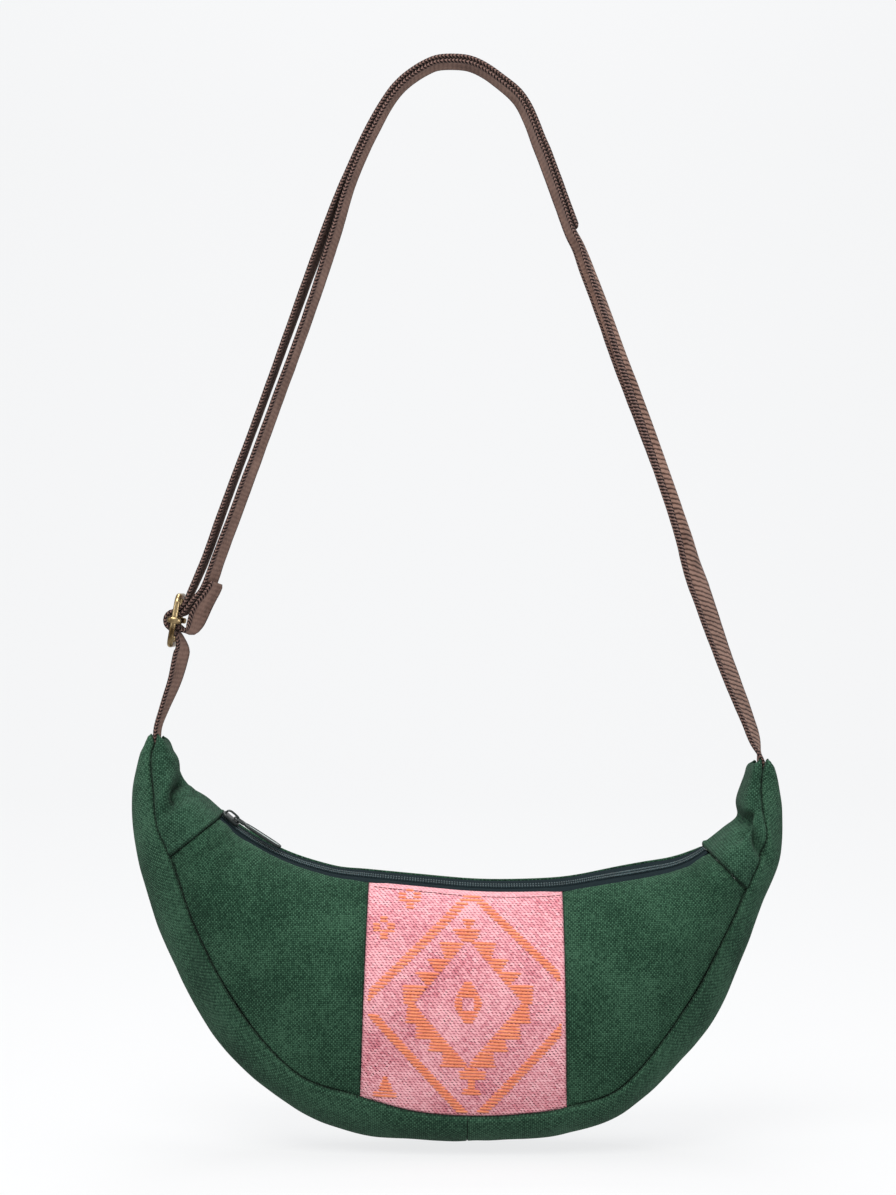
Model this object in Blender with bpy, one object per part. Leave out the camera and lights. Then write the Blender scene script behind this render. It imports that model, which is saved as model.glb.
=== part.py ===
"""Half moon bag with a woven front piece, a zip and an adjustable webbing strap.

The bag hangs from the crown of its strap. The origin is the underside of the crown,
+Z is up, +X is the bag's right side as seen from the front, and the front faces -Y.
All the sizes below are in millimetres.
"""

import bisect
import functools
import math

import bmesh
import bpy
from mathutils import Matrix, Vector

MM = 0.001

# Cloth and seams
CLOTH = 2.0
GAP = 0.3
SPACING = 10.0
STATION_GAP = 0.5

# Webbing
WEBBING_WIDTH = 24.0
WEBBING_THICK = 2.3
WEBBING_SPACING = 9.0

# Zip
TAPE_THICK = 1.0
TAPE_DROP = 0.6
ZIP_END = 1.0
TAPE_CLEAR = 0.7
COIL_WIDTH = 6.2
COIL_THICK = 2.0
COIL_PROUD = 0.3

# Buckle
BUCKLE_BAR = (-153.3, -307.8)
BUCKLE_LEAN = 10.4
BUCKLE_HALF_HEIGHT = 13.5
BUCKLE_SIDE_ROOM = 1.55
WIRE_RADIUS = 1.65
BUCKLE_HALF_WIDTH = WEBBING_WIDTH / 2 + BUCKLE_SIDE_ROOM + WIRE_RADIUS
BAR_RADIUS = 1.3

# Slider and pull
SLIDER_AT = 9.0
SLIDER_LIP = 0.5
SLIDER_WIDTH = 8.6
SLIDER_THICK = 1.8
BRIDGE_LENGTH = 10.0
BRIDGE_HEIGHT = 4.0
BRIDGE_WIDTH = 2.0
BRIDGE_BAR = 1.5
PULL_LENGTH = 31.0
PULL_WIDTH = 7.0
PULL_THICK = 1.6
PULL_WINDOW = 5.6
PULL_TILT = 8.0

# One row for each cross-section, from the left tip along the crescent to the right tip.
# top and base are the ends of the section in the X-Z plane, seam is how far down it the
# gusset's seam lies, and the half depths are at the top opening, the belly and the seam.
# shoulder and round are the squareness of the panel's and the gusset's curve, and rise
# is how much higher the back edge of the opening stands than the front edge.
STATION_COLUMNS = ("name", "top_x", "top_z", "base_x", "base_z", "seam", "half_top",
                   "half_belly", "half_seam", "shoulder", "round", "rise")
STATIONS = (
    ("left_tip", -159.7, -372.0, -168.9, -372.0, 0.50, 0.0, 15.6, 15.4, 4.5, 4.5, 0.0),
    ("left_lip", -157.6, -375.5, -170.5, -376.0, 0.50, 0.0, 15.8, 15.5, 4.2, 4.2, 0.0),
    ("left_neck", -155.6, -380.0, -173.3, -382.0, 0.58, 0.0, 16.5, 15.8, 3.2, 3.2, 0.0),
    ("left_horn", -150.0, -395.0, -177.5, -401.5, 0.54, 0.0, 21.5, 19.0, 2.3, 2.3, 0.0),
    ("left_brow", -137.5, -406.5, -177.0, -424.5, 0.63, 3.0, 27.0, 24.0, 2.1, 2.1, 0.5),
    ("left_cap", -128.5, -416.5, -172.0, -450.0, 0.60, 9.0, 31.0, 27.5, 1.9, 2.0, 1.5),
    ("left_end", -114.5, -428.5, -154.5, -498.5, 0.66, 11.0, 34.5, 30.0, 1.7, 2.0, 3.0),
    ("left_side", -92.5, -440.5, -127.0, -545.0, 0.74, 11.0, 37.0, 31.0, 1.6, 2.0, 3.5),
    ("left_low", -67.5, -448.5, -89.5, -577.5, 0.82, 11.0, 38.5, 31.5, 1.6, 2.0, 4.0),
    ("pink_left", -46.0, -451.5, -51.5, -592.5, 0.82, 11.0, 39.0, 31.5, 1.6, 2.1, 4.5),
    ("left_mid", -18.0, -454.3, -21.5, -595.0, 0.86, 11.0, 39.0, 31.5, 1.6, 2.1, 4.6),
    ("middle", 9.5, -456.8, 8.0, -596.0, 0.87, 11.0, 39.0, 31.5, 1.6, 2.1, 4.6),
    ("right_mid", 34.5, -457.4, 35.5, -595.0, 0.87, 11.0, 39.0, 31.5, 1.6, 2.1, 4.8),
    ("pink_right", 60.5, -456.5, 62.5, -592.0, 0.86, 11.0, 39.0, 31.5, 1.6, 2.1, 5.2),
    ("right_low", 84.0, -453.0, 96.5, -579.0, 0.85, 11.0, 38.5, 31.5, 1.6, 2.0, 6.0),
    ("right_side", 109.0, -449.0, 140.5, -535.5, 0.73, 11.0, 37.0, 31.0, 1.6, 2.0, 6.5),
    ("right_end", 127.5, -444.0, 160.3, -495.5, 0.68, 11.0, 34.5, 29.5, 1.7, 2.0, 5.0),
    ("right_cap", 141.0, -435.0, 172.0, -465.5, 0.64, 9.0, 31.0, 27.5, 1.9, 2.0, 2.5),
    ("right_brow", 157.5, -418.0, 181.5, -439.0, 0.58, 3.0, 26.0, 24.0, 2.1, 2.1, 0.5),
    ("right_horn", 158.6, -406.5, 183.0, -414.5, 0.48, 0.0, 21.0, 19.5, 2.3, 2.3, 0.0),
    ("right_neck", 163.0, -394.5, 180.8, -398.5, 0.40, 0.0, 16.5, 15.8, 3.2, 3.2, 0.0),
    ("right_lip", 164.6, -389.0, 178.6, -390.5, 0.45, 0.0, 15.8, 15.5, 4.2, 4.2, 0.0),
    ("right_tip", 166.6, -385.5, 176.8, -386.0, 0.50, 0.0, 15.6, 15.4, 4.5, 4.5, 0.0),
)
BELLY_AT = 0.58
LIP_OPENING = 5.0

# Dents and folds of the cloth: where they lie along the crescent and down the side panel,
# how far they press in (or swell out, where negative) and how far they spread.
FOLD_COLUMNS = ("near", "along", "down", "depth", "spread_along", "spread_down")
FOLDS = (
    ("left_horn", 10.0, 0.45, 3.0, 7.0, 0.30),
    ("left_brow", 8.0, 0.70, -1.2, 8.0, 0.25),
    ("right_brow", 4.0, 0.35, 2.6, 6.0, 0.30),
    ("right_cap", 6.0, 0.60, -1.2, 7.0, 0.25),
    ("left_side", 0.0, 0.90, 1.6, 14.0, 0.14),
    ("right_side", 6.0, 0.88, 1.6, 14.0, 0.14),
    ("left_low", 8.0, 0.12, 1.0, 16.0, 0.10),
    ("right_low", -6.0, 0.12, 1.0, 16.0, 0.10),
)

# The main layer of the strap: the middle line of the webbing in the X-Z plane, the turn
# about that line (positive turns the outer face to the front) and the cupping across it.
STRAP_COLUMNS = ("x", "z", "turn", "cup")
STRAP_RIGHT_LEG = (
    (171.6, -399.0, 0.0, 0.0),
    (171.5, -386.5, 0.0, 0.0),
    (168.2, -374.5, 16.0, 0.3),
    (162.2, -357.7, 21.0, 0.5),
    (155.6, -341.0, 24.0, 0.5),
    (149.4, -324.4, 25.5, 0.5),
    (138.0, -291.0, 30.0, 1.0),
    (134.4, -279.9, 29.5, 2.0),
    (130.0, -263.3, 23.0, 4.0),
    (123.9, -246.6, 13.0, 5.8),
    (117.6, -229.9, 6.5, 6.8),
    (105.7, -196.6, 0.5, 6.9),
    (93.3, -163.3, -2.5, 6.4),
    (81.6, -129.9, -5.5, 5.2),
    (75.3, -113.3, -6.5, 4.4),
    (70.4, -100.2, -6.5, 3.2),
)
STRAP_LEFT_LEG = (
    (-64.7, -91.9, -7.5, 0.0),
    (-81.3, -141.7, -6.5, 0.0),
    (-99.4, -191.0, -7.5, 0.0),
    (-111.9, -225.0, -8.5, 0.0),
    (-122.1, -252.5, -9.5, 0.0),
    (-129.3, -271.5, -10.0, 0.0),
)

# The outer edge of the strap over the crown, which both layers follow.
CROWN_COLUMNS = ("x", "z", "turn", "cup")
CROWN = (
    (69.3, -90.0, -6.5, 2.0),
    (63.9, -75.5, -6.5, 1.6),
    (58.0, -59.7, -6.5, 1.2),
    (51.4, -42.9, -6.0, 0.8),
    (40.1, -17.8, -3.0, 0.4),
    (25.0, -4.2, -0.5, 0.0),
    (12.5, 3.1, 0.0, 0.0),
    (0.0, 4.9, 0.0, 0.0),
    (-12.8, 3.1, 0.0, 0.0),
    (-30.5, -9.0, -0.5, 0.0),
    (-42.9, -26.8, -3.0, 0.0),
    (-58.6, -59.9, -5.5, 0.0),
)

# The outer layer's left leg, and the way of each layer through the buckle. across is
# measured from the middle bar to the outer (left) side and up along the buckle's frame.
TAIL_LEFT_LEG = (
    (-70.6, -91.9, -4.5, 0.0),
    (-88.9, -141.7, -2.5, 0.0),
    (-106.8, -191.0, -1.0, 0.0),
    (-125.6, -241.3, -2.0, 0.0),
    (-137.4, -274.3, -2.0, 0.0),
)
TAIL_LOWER_LEG = (
    (-150.6, -326.0, -13.0, 0.0),
    (-154.3, -341.0, -10.0, 0.0),
    (-160.5, -357.7, -4.0, 0.0),
    (-163.6, -367.0, -1.0, 0.0),
    (-164.3, -374.5, 0.0, 0.0),
    (-164.4, -386.0, 0.0, 0.0),
)
BUCKLE_WAY_COLUMNS = ("across", "up", "turn")
MAIN_THROUGH = (
    (-13.4, 19.6, -8.0),
    (-8.8, 11.6, -3.0),
    (-4.6, 5.9, 0.0),
    (-1.9, 3.3, 0.0),
)
FLAP = (
    (-2.0, -3.4, 0.0),
    (-5.2, -4.8, -2.0),
    (-9.2, -4.6, -7.0),
    (-12.4, -1.6, -11.0),
    (-14.8, 5.0, -13.0),
    (-16.4, 13.0, -11.0),
    (-17.6, 21.5, -9.0),
    (-18.5, 25.5, -9.0),
)
TAIL_ABOVE = (
    (-5.4, 18.0, -1.0),
    (-4.2, 13.2, 0.0),
    (-2.6, 8.6, 0.0),
)
TAIL_BELOW = (
    (-2.0, -7.4, 0.0),
    (-4.2, -10.6, -3.0),
    (-5.8, -14.6, -9.0),
)


def clear_scene():
    """Start from an empty scene."""
    for item in list(bpy.data.objects):
        bpy.data.objects.remove(item, do_unlink=True)


def material(name, colour, roughness, metallic=0.0):
    """A plain Principled material."""
    mat = bpy.data.materials.new(name)
    mat.use_nodes = True
    shader = mat.node_tree.nodes["Principled BSDF"]
    shader.inputs["Base Color"].default_value = (*colour, 1.0)
    shader.inputs["Roughness"].default_value = roughness
    shader.inputs["Metallic"].default_value = metallic
    return mat


def named(columns, rows):
    """Turn a table into dictionaries, one for each row."""
    return [dict(zip(columns, row)) for row in rows]


def hermite(knots, values, at):
    """Smooth value of a table column between its rows."""
    last = len(knots) - 2
    i = min(max(bisect.bisect_right(knots, at) - 1, 0), last)
    step = knots[i + 1] - knots[i]
    t = (at - knots[i]) / step

    def slope(k):
        a = max(k - 1, 0)
        b = min(k + 1, len(knots) - 1)
        return (values[b] - values[a]) / (knots[b] - knots[a])

    m0 = slope(i) * step
    m1 = slope(i + 1) * step
    t2 = t * t
    t3 = t2 * t
    return ((2 * t3 - 3 * t2 + 1) * values[i] + (t3 - 2 * t2 + t) * m0
            + (3 * t2 - 2 * t3) * values[i + 1] + (t3 - t2) * m1)


def running_lengths(points):
    """Length along a row of points, up to each of them."""
    total = [0.0]
    for a, b in zip(points, points[1:]):
        total.append(total[-1] + math.dist(a, b))
    return total


def subdivide(knots, spacing):
    """The knots, with more places between them at about the given spacing."""
    places = [knots[0]]
    for start, stop in zip(knots, knots[1:]):
        parts = max(round((stop - start) / spacing), 1)
        places += [stretch(start, stop, (i + 1) / parts) for i in range(parts)]
    return places


def stretch(start, stop, f):
    """The value at the part f of the way."""
    return start + (stop - start) * f


class Crescent:
    """The bag's outer skin, worked out from the table of cross-sections."""

    def __init__(self):
        self.rows = named(STATION_COLUMNS, STATIONS)
        tops = running_lengths([(r["top_x"], r["top_z"]) for r in self.rows])
        bases = running_lengths([(r["base_x"], r["base_z"]) for r in self.rows])
        self.knots = [(a + b) / 2 for a, b in zip(tops, bases)]
        self.at = {r["name"]: k for r, k in zip(self.rows, self.knots)}
        self.folds = named(FOLD_COLUMNS, FOLDS)

    def stops(self, first, last, spacing):
        """Places along the crescent from one section to another, the same for each piece."""
        knots = [k for k in self.knots if self.at[first] <= k <= self.at[last]]
        places = subdivide(knots, spacing)
        if first not in ("left_tip", "right_tip"):
            places[0] += STATION_GAP / 2
        if last not in ("left_tip", "right_tip"):
            places[-1] -= STATION_GAP / 2
        return places

    @functools.lru_cache(maxsize=None)
    def row(self, s):
        """All the table's columns at the place s along the crescent."""
        return {c: hermite(self.knots, [r[c] for r in self.rows], s)
                for c in STATION_COLUMNS[1:]}

    @functools.lru_cache(maxsize=None)
    def profile(self, s, side):
        """Half a cross-section: its points (down, out), lengths and marks."""
        row = self.row(s)
        length = math.dist((row["top_x"], row["top_z"]), (row["base_x"], row["base_z"]))
        seam = row["seam"] * length
        half_top = max(row["half_top"], 0.0)
        rise = max(row["rise"], 0.0)
        edge = -rise if side > 0 else 0.0
        belly = edge + BELLY_AT * (seam - edge)
        points = [(-rise / 2 + (edge + rise / 2) * i / 4, half_top * i / 4) for i in range(4)]
        power = 2 / row["shoulder"]
        for i in range(25):
            angle = math.pi / 2 * i / 24
            down = 1 - math.cos(angle) ** power if i < 24 else 1.0
            out = math.sin(angle) ** power
            points.append((edge + down * (belly - edge),
                           half_top + out * (row["half_belly"] - half_top)))
        for i in range(1, 13):
            f = i / 12
            ease = f * f * (1.6 - 0.6 * f)
            points.append((belly + f * (seam - belly),
                           row["half_belly"] + ease * (row["half_seam"] - row["half_belly"])))
        power = 2 / row["round"]
        for i in range(1, 25):
            angle = math.pi / 2 * i / 24
            out = math.cos(angle) ** power if i < 24 else 0.0
            points.append((seam + math.sin(angle) ** power * (length - seam),
                           row["half_seam"] * out))
        lengths = running_lengths(points)
        return points, lengths, {"middle": 0.0, "edge": lengths[4], "seam": lengths[40],
                                 "base": lengths[-1]}

    def plain_point(self, s, side, along):
        """The point at a length along the half cross-section, with no folds."""
        if along < 0:
            along = -along
            side = -side
        points, lengths, marks = self.profile(s, side)
        if along > marks["base"]:
            along = 2 * marks["base"] - along
            side = -side
            points, lengths, marks = self.profile(s, side)
        i = min(max(bisect.bisect_right(lengths, along) - 1, 0), len(lengths) - 2)
        t = (along - lengths[i]) / max(lengths[i + 1] - lengths[i], 1e-9)
        down = points[i][0] + t * (points[i + 1][0] - points[i][0])
        out = points[i][1] + t * (points[i + 1][1] - points[i][1])
        row = self.row(s)
        dx = row["base_x"] - row["top_x"]
        dz = row["base_z"] - row["top_z"]
        size = math.hypot(dx, dz)
        return Vector((row["top_x"] + dx / size * down, side * out,
                       row["top_z"] + dz / size * down))

    def length_at(self, s, side, zone, f):
        """Length along the half section at the part f of the way from mark to mark."""
        marks = self.profile(s, side)[2]
        a, b = (marks[m] for m in zone)
        return a + f * (b - a)

    def normal(self, s, side, zone, f):
        """Outward direction of the skin."""
        step = 0.7
        along = self.length_at(s, side, zone, f)
        down = self.plain_point(s, side, along + step) - self.plain_point(s, side, along - step)
        lo = max(s - step, 0.0)
        hi = min(s + step, self.knots[-1])
        ahead = (self.plain_point(hi, side, self.length_at(hi, side, zone, f))
                 - self.plain_point(lo, side, self.length_at(lo, side, zone, f)))
        return (ahead.cross(down) * side).normalized()

    def fold(self, s, side, along):
        """How far the cloth is pressed in at this place."""
        marks = self.profile(s, side)[2]
        down = (along - marks["edge"]) / (marks["seam"] - marks["edge"])
        total = 0.0
        for fold in self.folds:
            a = (s - self.at[fold["near"]] - fold["along"]) / fold["spread_along"]
            b = (down - fold["down"]) / fold["spread_down"]
            total += fold["depth"] * math.exp(-a * a - b * b)
        return total

    def skin(self, s, side, zone, f, depth):
        """A point of the wall: depth 0 is its outer face."""
        along = self.length_at(s, side, zone, f)
        out = self.normal(s, side, zone, f)
        point = self.plain_point(s, side, along)
        return point - out * (depth + self.fold(s, side, along))

    def lid(self, s, out, drop):
        """A point of the zip's surface, out from its middle and drop below it."""
        row = self.row(s)
        dx = row["base_x"] - row["top_x"]
        dz = row["base_z"] - row["top_z"]
        size = math.hypot(dx, dz)
        lift = row["rise"] * (out / row["half_top"] + 1) / 2 - drop
        return Vector((row["top_x"] - dx / size * lift, out, row["top_z"] - dz / size * lift))


def face_out(bm):
    """Turn a closed mesh's faces outwards."""
    if bm.calc_volume(signed=True) < 0:
        bmesh.ops.reverse_faces(bm, faces=bm.faces)


def slab(columns, rows):
    """A flat closed slab, 1 by 1 by 1, cut into columns and rows."""
    bm = bmesh.new()
    bmesh.ops.create_grid(bm, x_segments=columns, y_segments=rows, size=0.5)
    bmesh.ops.translate(bm, verts=bm.verts, vec=(0.5, 0.5, 0.0))
    made = bmesh.ops.extrude_face_region(bm, geom=list(bm.faces), use_keep_orig=True)
    raised = [v for v in made["geom"] if isinstance(v, bmesh.types.BMVert)]
    bmesh.ops.translate(bm, verts=raised, vec=(0.0, 0.0, 1.0))
    bmesh.ops.recalc_face_normals(bm, faces=bm.faces)
    return bm


def lay(bm, place):
    """Lay a slab onto a surface: place(a, b, depth) gives each of its points."""
    for vert in bm.verts:
        a, b, depth = (round(v, 6) for v in vert.co)
        vert.co = place(a, b, depth)
    face_out(bm)


def finish(bm, name, mat, smooth=True):
    """Make an object of a mesh that was modelled in millimetres."""
    face_out(bm)
    bmesh.ops.scale(bm, verts=bm.verts, vec=(MM, MM, MM))
    mesh = bpy.data.meshes.new(name)
    bm.to_mesh(mesh)
    bm.free()
    if smooth:
        mesh.shade_smooth()
        mesh.set_sharp_from_angle(angle=math.radians(40))
    mesh.materials.append(mat)
    item = bpy.data.objects.new(name, mesh)
    bpy.context.scene.collection.objects.link(item)
    return item


def side_panel(bag, name, side, first, last, rows, mat):
    """A front or back panel, from the zip's edge down to the gusset's seam."""
    stops = bag.stops(first, last, SPACING)
    zone = ("edge", "seam")

    def place(a, b, depth):
        s = stops[round(a * (len(stops) - 1))]
        reach = bag.length_at(s, side, zone, 1.0) - bag.length_at(s, side, zone, 0.0)
        f = stretch(0.0, 1.0 - GAP / 2 / reach, b)
        return bag.skin(s, side, zone, f, depth * CLOTH)

    bm = slab(len(stops) - 1, rows)
    lay(bm, place)
    return finish(bm, name, mat)


def lip_trim(bag, s, side, zone):
    """How far the edge stays back from the seam near the tip, to let the strap in."""
    ends = (bag.knots[0], bag.knots[-1])
    near = min(abs(s - e) for e in ends)
    return 3.4 * max(1.0 - near / LIP_OPENING, 0.0)


def gusset(bag, name, first, last, rows, mat):
    """Half of the band that runs round the bottom, from the tip to the centre seam."""
    stops = bag.stops(first, last, SPACING)
    zone = ("seam", "base")

    def place(a, b, depth):
        s = stops[round(a * (len(stops) - 1))]
        side = -1 if b < 0.5 else 1
        reach = bag.length_at(s, side, zone, 1.0) - bag.length_at(s, side, zone, 0.0)
        trim = (GAP / 2 + lip_trim(bag, s, side, zone)) / reach
        f = stretch(trim, 1.0, 1 - abs(2 * b - 1))
        return bag.skin(s, side, zone, f, depth * CLOTH)

    bm = slab(len(stops) - 1, rows)
    lay(bm, place)
    return finish(bm, name, mat)


def horn(bag, name, first, last, rows, mat):
    """An end cap: it wraps over the top, from the front seam to the back seam."""
    stops = bag.stops(first, last, SPACING)
    zone = ("middle", "seam")

    def place(a, b, depth):
        s = stops[round(a * (len(stops) - 1))]
        side = -1 if b < 0.5 else 1
        reach = bag.length_at(s, side, zone, 1.0)
        trim = (GAP / 2 + lip_trim(bag, s, side, zone)) / reach
        return bag.skin(s, side, zone, abs(2 * b - 1) * (1.0 - trim), depth * CLOTH)

    bm = slab(len(stops) - 1, rows)
    lay(bm, place)
    return finish(bm, name, mat)


def zip_strip(bag, name, side, drop, thick, rows, mat):
    """A flat strip along the zip: a tape on one side of the coil, or the coil (side 0)."""
    stops = bag.stops("left_cap", "right_cap", SPACING)
    stops[0] += ZIP_END
    stops[-1] -= ZIP_END

    def place(a, b, depth):
        s = stops[round(a * (len(stops) - 1))]
        inner = side * (COIL_WIDTH / 2 + GAP) if side else -COIL_WIDTH / 2
        outer = side * (bag.row(s)["half_top"] - TAPE_CLEAR) if side else COIL_WIDTH / 2
        return bag.lid(s, stretch(inner, outer, b), drop + depth * thick)

    bm = slab(len(stops) - 1, rows)
    lay(bm, place)
    return finish(bm, name, mat)


def offset_line(points, distance):
    """Rows of a strap table, moved to the inner side of the crown, square to its line."""
    moved = []
    for i, (x, z, turn, cup) in enumerate(points):
        a = points[max(i - 1, 0)]
        b = points[min(i + 1, len(points) - 1)]
        dx = b[0] - a[0]
        dz = b[1] - a[1]
        size = math.hypot(dx, dz)
        moved.append((x - dz / size * distance, z + dx / size * distance, turn, cup))
    return moved


def in_buckle(across, up):
    """From the buckle's own directions to the X-Z plane."""
    lean = math.radians(BUCKLE_LEAN)
    x = BUCKLE_BAR[0] - across * math.cos(lean) + up * math.sin(lean)
    z = BUCKLE_BAR[1] + across * math.sin(lean) + up * math.cos(lean)
    return x, z


def buckle_way(rows):
    """Rows of a way through the buckle, as rows of a strap table."""
    return [(*in_buckle(r[0], r[1]), r[2], 0.0) for r in rows]


def round_bar(radius):
    """Half a turn round the outer side of the middle bar, from its top to its bottom."""
    way = []
    for angle in (75, 45, 15, -15, -45, -75):
        t = math.radians(angle)
        way.append((radius * math.cos(t), radius * math.sin(t), 0.0))
    return buckle_way(way)


def main_way():
    """The main layer, from the right tip to the end of its sewn flap."""
    inset = WEBBING_THICK * 1.5 + GAP
    crown = offset_line(CROWN, inset)
    loop = round_bar(BAR_RADIUS + GAP + WEBBING_THICK / 2)
    return (list(STRAP_RIGHT_LEG) + crown + list(STRAP_LEFT_LEG)
            + buckle_way(MAIN_THROUGH) + loop + buckle_way(FLAP))


def tail_way():
    """The outer layer, from its loose end by the right of the crown to the left tip."""
    crown = offset_line(CROWN, WEBBING_THICK / 2)
    loop = round_bar(BAR_RADIUS + 2 * GAP + WEBBING_THICK * 1.5)
    return (crown + list(TAIL_LEFT_LEG) + buckle_way(TAIL_ABOVE) + loop
            + buckle_way(TAIL_BELOW) + list(TAIL_LOWER_LEG))


def webbing(name, way, spacing, across, mat):
    """A band of webbing whose middle line follows the way."""
    knots = running_lengths([(r[0], r[1]) for r in way])
    columns = [[r[i] for r in way] for i in range(4)]
    stops = subdivide(knots, spacing)
    count = len(stops) - 1

    def value(i, s):
        return hermite(knots, columns[i], s)

    def place(a, b, depth):
        s = stops[round(a * count)]
        dx = value(0, s + 0.3) - value(0, s - 0.3)
        dz = value(1, s + 0.3) - value(1, s - 0.3)
        size = math.hypot(dx, dz)
        ahead = Vector((dx / size, 0.0, dz / size))
        outer = Vector((dz / size, 0.0, -dx / size))
        turn = math.radians(value(2, s))
        wide = Vector((0.0, 1.0, 0.0))
        spin = Matrix.Rotation(-turn, 3, ahead)
        outer = spin @ outer
        wide = spin @ wide
        w = 2 * b - 1
        cup = max(value(3, s), 0.0)
        chord = math.sqrt(WEBBING_WIDTH ** 2 - 16 / 3 * cup ** 2)
        middle = Vector((value(0, s), 0.0, value(1, s)))
        return (middle + wide * w * chord / 2
                + outer * ((0.5 - depth) * WEBBING_THICK + cup * (0.5 - w * w)))

    bm = slab(count, across)
    lay(bm, place)
    return finish(bm, name, mat)


def buckle_matrix():
    """Buckle directions (across, depth, up) placed in the bag's frame."""
    x, z = BUCKLE_BAR
    lean = math.radians(BUCKLE_LEAN)
    across = Vector((-math.cos(lean), 0.0, math.sin(lean)))
    up = Vector((math.sin(lean), 0.0, math.cos(lean)))
    depth = up.cross(across)
    turn = Matrix((across, depth, up)).transposed().to_4x4()
    return Matrix.Translation(Vector((x, 0.0, z))) @ turn


def buckle_frame(mat):
    """The buckle's closed wire frame."""
    corner = 4.0
    wide = BUCKLE_HALF_WIDTH - corner
    high = BUCKLE_HALF_HEIGHT - corner
    points = []
    for i, (sy, sz) in enumerate(((1, 1), (-1, 1), (-1, -1), (1, -1))):
        for step in range(5):
            t = math.radians(90 * i + 22.5 * step)
            points.append((0.0, sy * wide + corner * math.cos(t), sz * high + corner * math.sin(t)))
    curve = bpy.data.curves.new("buckle_frame", "CURVE")
    curve.dimensions = "3D"
    curve.bevel_depth = WIRE_RADIUS * MM
    curve.bevel_resolution = 2
    spline = curve.splines.new("POLY")
    spline.points.add(len(points) - 1)
    matrix = buckle_matrix()
    for point, co in zip(spline.points, points):
        point.co = (*(matrix @ Vector(co) * MM), 1.0)
    spline.use_cyclic_u = True
    curve.materials.append(mat)
    item = bpy.data.objects.new("buckle_frame", curve)
    bpy.context.scene.collection.objects.link(item)
    return item


def collar(side):
    """The flat loop of the bar's end round the frame's side."""
    bm = bmesh.new()
    segments = 16
    rings = []
    for half_across, half_depth in ((4.0, 2.75), (2.05, 2.05)):
        made = bmesh.ops.create_circle(bm, segments=segments, radius=1.0)
        bmesh.ops.scale(bm, verts=made["verts"], vec=(half_across, half_depth, 1.0))
        rings.append({e for v in made["verts"] for e in v.link_edges})
    bmesh.ops.bridge_loops(bm, edges=list(rings[0] | rings[1]))
    made = bmesh.ops.extrude_face_region(bm, geom=list(bm.faces), use_keep_orig=True)
    raised = [v for v in made["geom"] if isinstance(v, bmesh.types.BMVert)]
    bmesh.ops.translate(bm, verts=raised, vec=(0.0, 0.0, 3.2))
    bmesh.ops.translate(bm, verts=bm.verts, vec=(0.0, side * BUCKLE_HALF_WIDTH, -1.6))
    bmesh.ops.recalc_face_normals(bm, faces=bm.faces)
    return bm


def hide_tool(item):
    """Keep a helper shape out of the model."""
    item.hide_render = True
    item.hide_set(True)
    item.display_type = "WIRE"


def join_with(item, other, operation="UNION"):
    """Add a Boolean to an object."""
    boolean = item.modifiers.new(operation.lower(), "BOOLEAN")
    boolean.operation = operation
    boolean.object = other
    boolean.solver = "EXACT"


def buckle_bar(mat):
    """The middle bar, whose flattened ends wrap round the frame's sides."""
    bm = bmesh.new()
    bmesh.ops.create_cone(bm, cap_ends=True, segments=12, radius1=BAR_RADIUS,
                          radius2=BAR_RADIUS, depth=2 * (BUCKLE_HALF_WIDTH - 2.35))
    bmesh.ops.rotate(bm, verts=bm.verts, cent=(0, 0, 0), matrix=Matrix.Rotation(math.pi / 2, 3, "X"))
    bm.transform(buckle_matrix())
    item = finish(bm, "buckle_bar", mat)
    for side in (-1, 1):
        ring = collar(side)
        ring.transform(buckle_matrix())
        tool = finish(ring, "collar_tool", mat)
        hide_tool(tool)
        join_with(item, tool)
    return item


def slider_frame(bag):
    """Slider directions (along the zip, across it, up) placed in the bag's frame."""
    s = bag.at["left_cap"] + SLIDER_AT
    middle = bag.lid(s, 0.0, -COIL_PROUD)
    ahead = (bag.lid(s + 2.0, 0.0, 0.0) - bag.lid(s - 2.0, 0.0, 0.0)).normalized()
    across = (bag.lid(s, 4.0, 0.0) - bag.lid(s, -4.0, 0.0)).normalized()
    up = ahead.cross(across).normalized()
    across = up.cross(ahead).normalized()
    turn = Matrix((ahead, across, up)).transposed().to_4x4()
    return Matrix.Translation(middle) @ turn


def block(size, centre, bevel=0.0, segments=2):
    """A box in millimetres, with rounded edges where bevel is not nought."""
    bm = bmesh.new()
    bmesh.ops.create_cube(bm, size=1.0)
    bmesh.ops.scale(bm, verts=bm.verts, vec=size)
    if bevel:
        bmesh.ops.bevel(bm, geom=list(bm.edges), offset=bevel, segments=segments,
                        profile=0.5, affect="EDGES", material=-1)
    bmesh.ops.translate(bm, verts=bm.verts, vec=centre)
    return bm


def zip_slider(bag, mat):
    """The slider's body on the coil, with the bridge that holds the pull."""
    frame = slider_frame(bag)
    lift = GAP + SLIDER_THICK / 2
    length = BRIDGE_LENGTH + 2 * SLIDER_LIP
    bm = block((length, SLIDER_WIDTH, SLIDER_THICK), (0, 0, lift), 0.6)
    bm.transform(frame)
    item = finish(bm, "zip_slider", mat)
    top = GAP + SLIDER_THICK
    bridge = block((BRIDGE_LENGTH, BRIDGE_WIDTH, BRIDGE_HEIGHT + 0.6),
                   (0, 0, top + (BRIDGE_HEIGHT - 0.6) / 2), 0.7, 2)
    bridge.transform(frame)
    tool = finish(bridge, "bridge_tool", mat)
    hide_tool(tool)
    join_with(item, tool)
    window = block((BRIDGE_LENGTH - 2 * BRIDGE_BAR, BRIDGE_WIDTH + 2, BRIDGE_HEIGHT - BRIDGE_BAR),
                   (0, 0, top + (BRIDGE_HEIGHT - BRIDGE_BAR) / 2))
    window.transform(frame)
    cutter = finish(window, "window_tool", mat)
    hide_tool(cutter)
    join_with(item, cutter, "DIFFERENCE")
    return item


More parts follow.
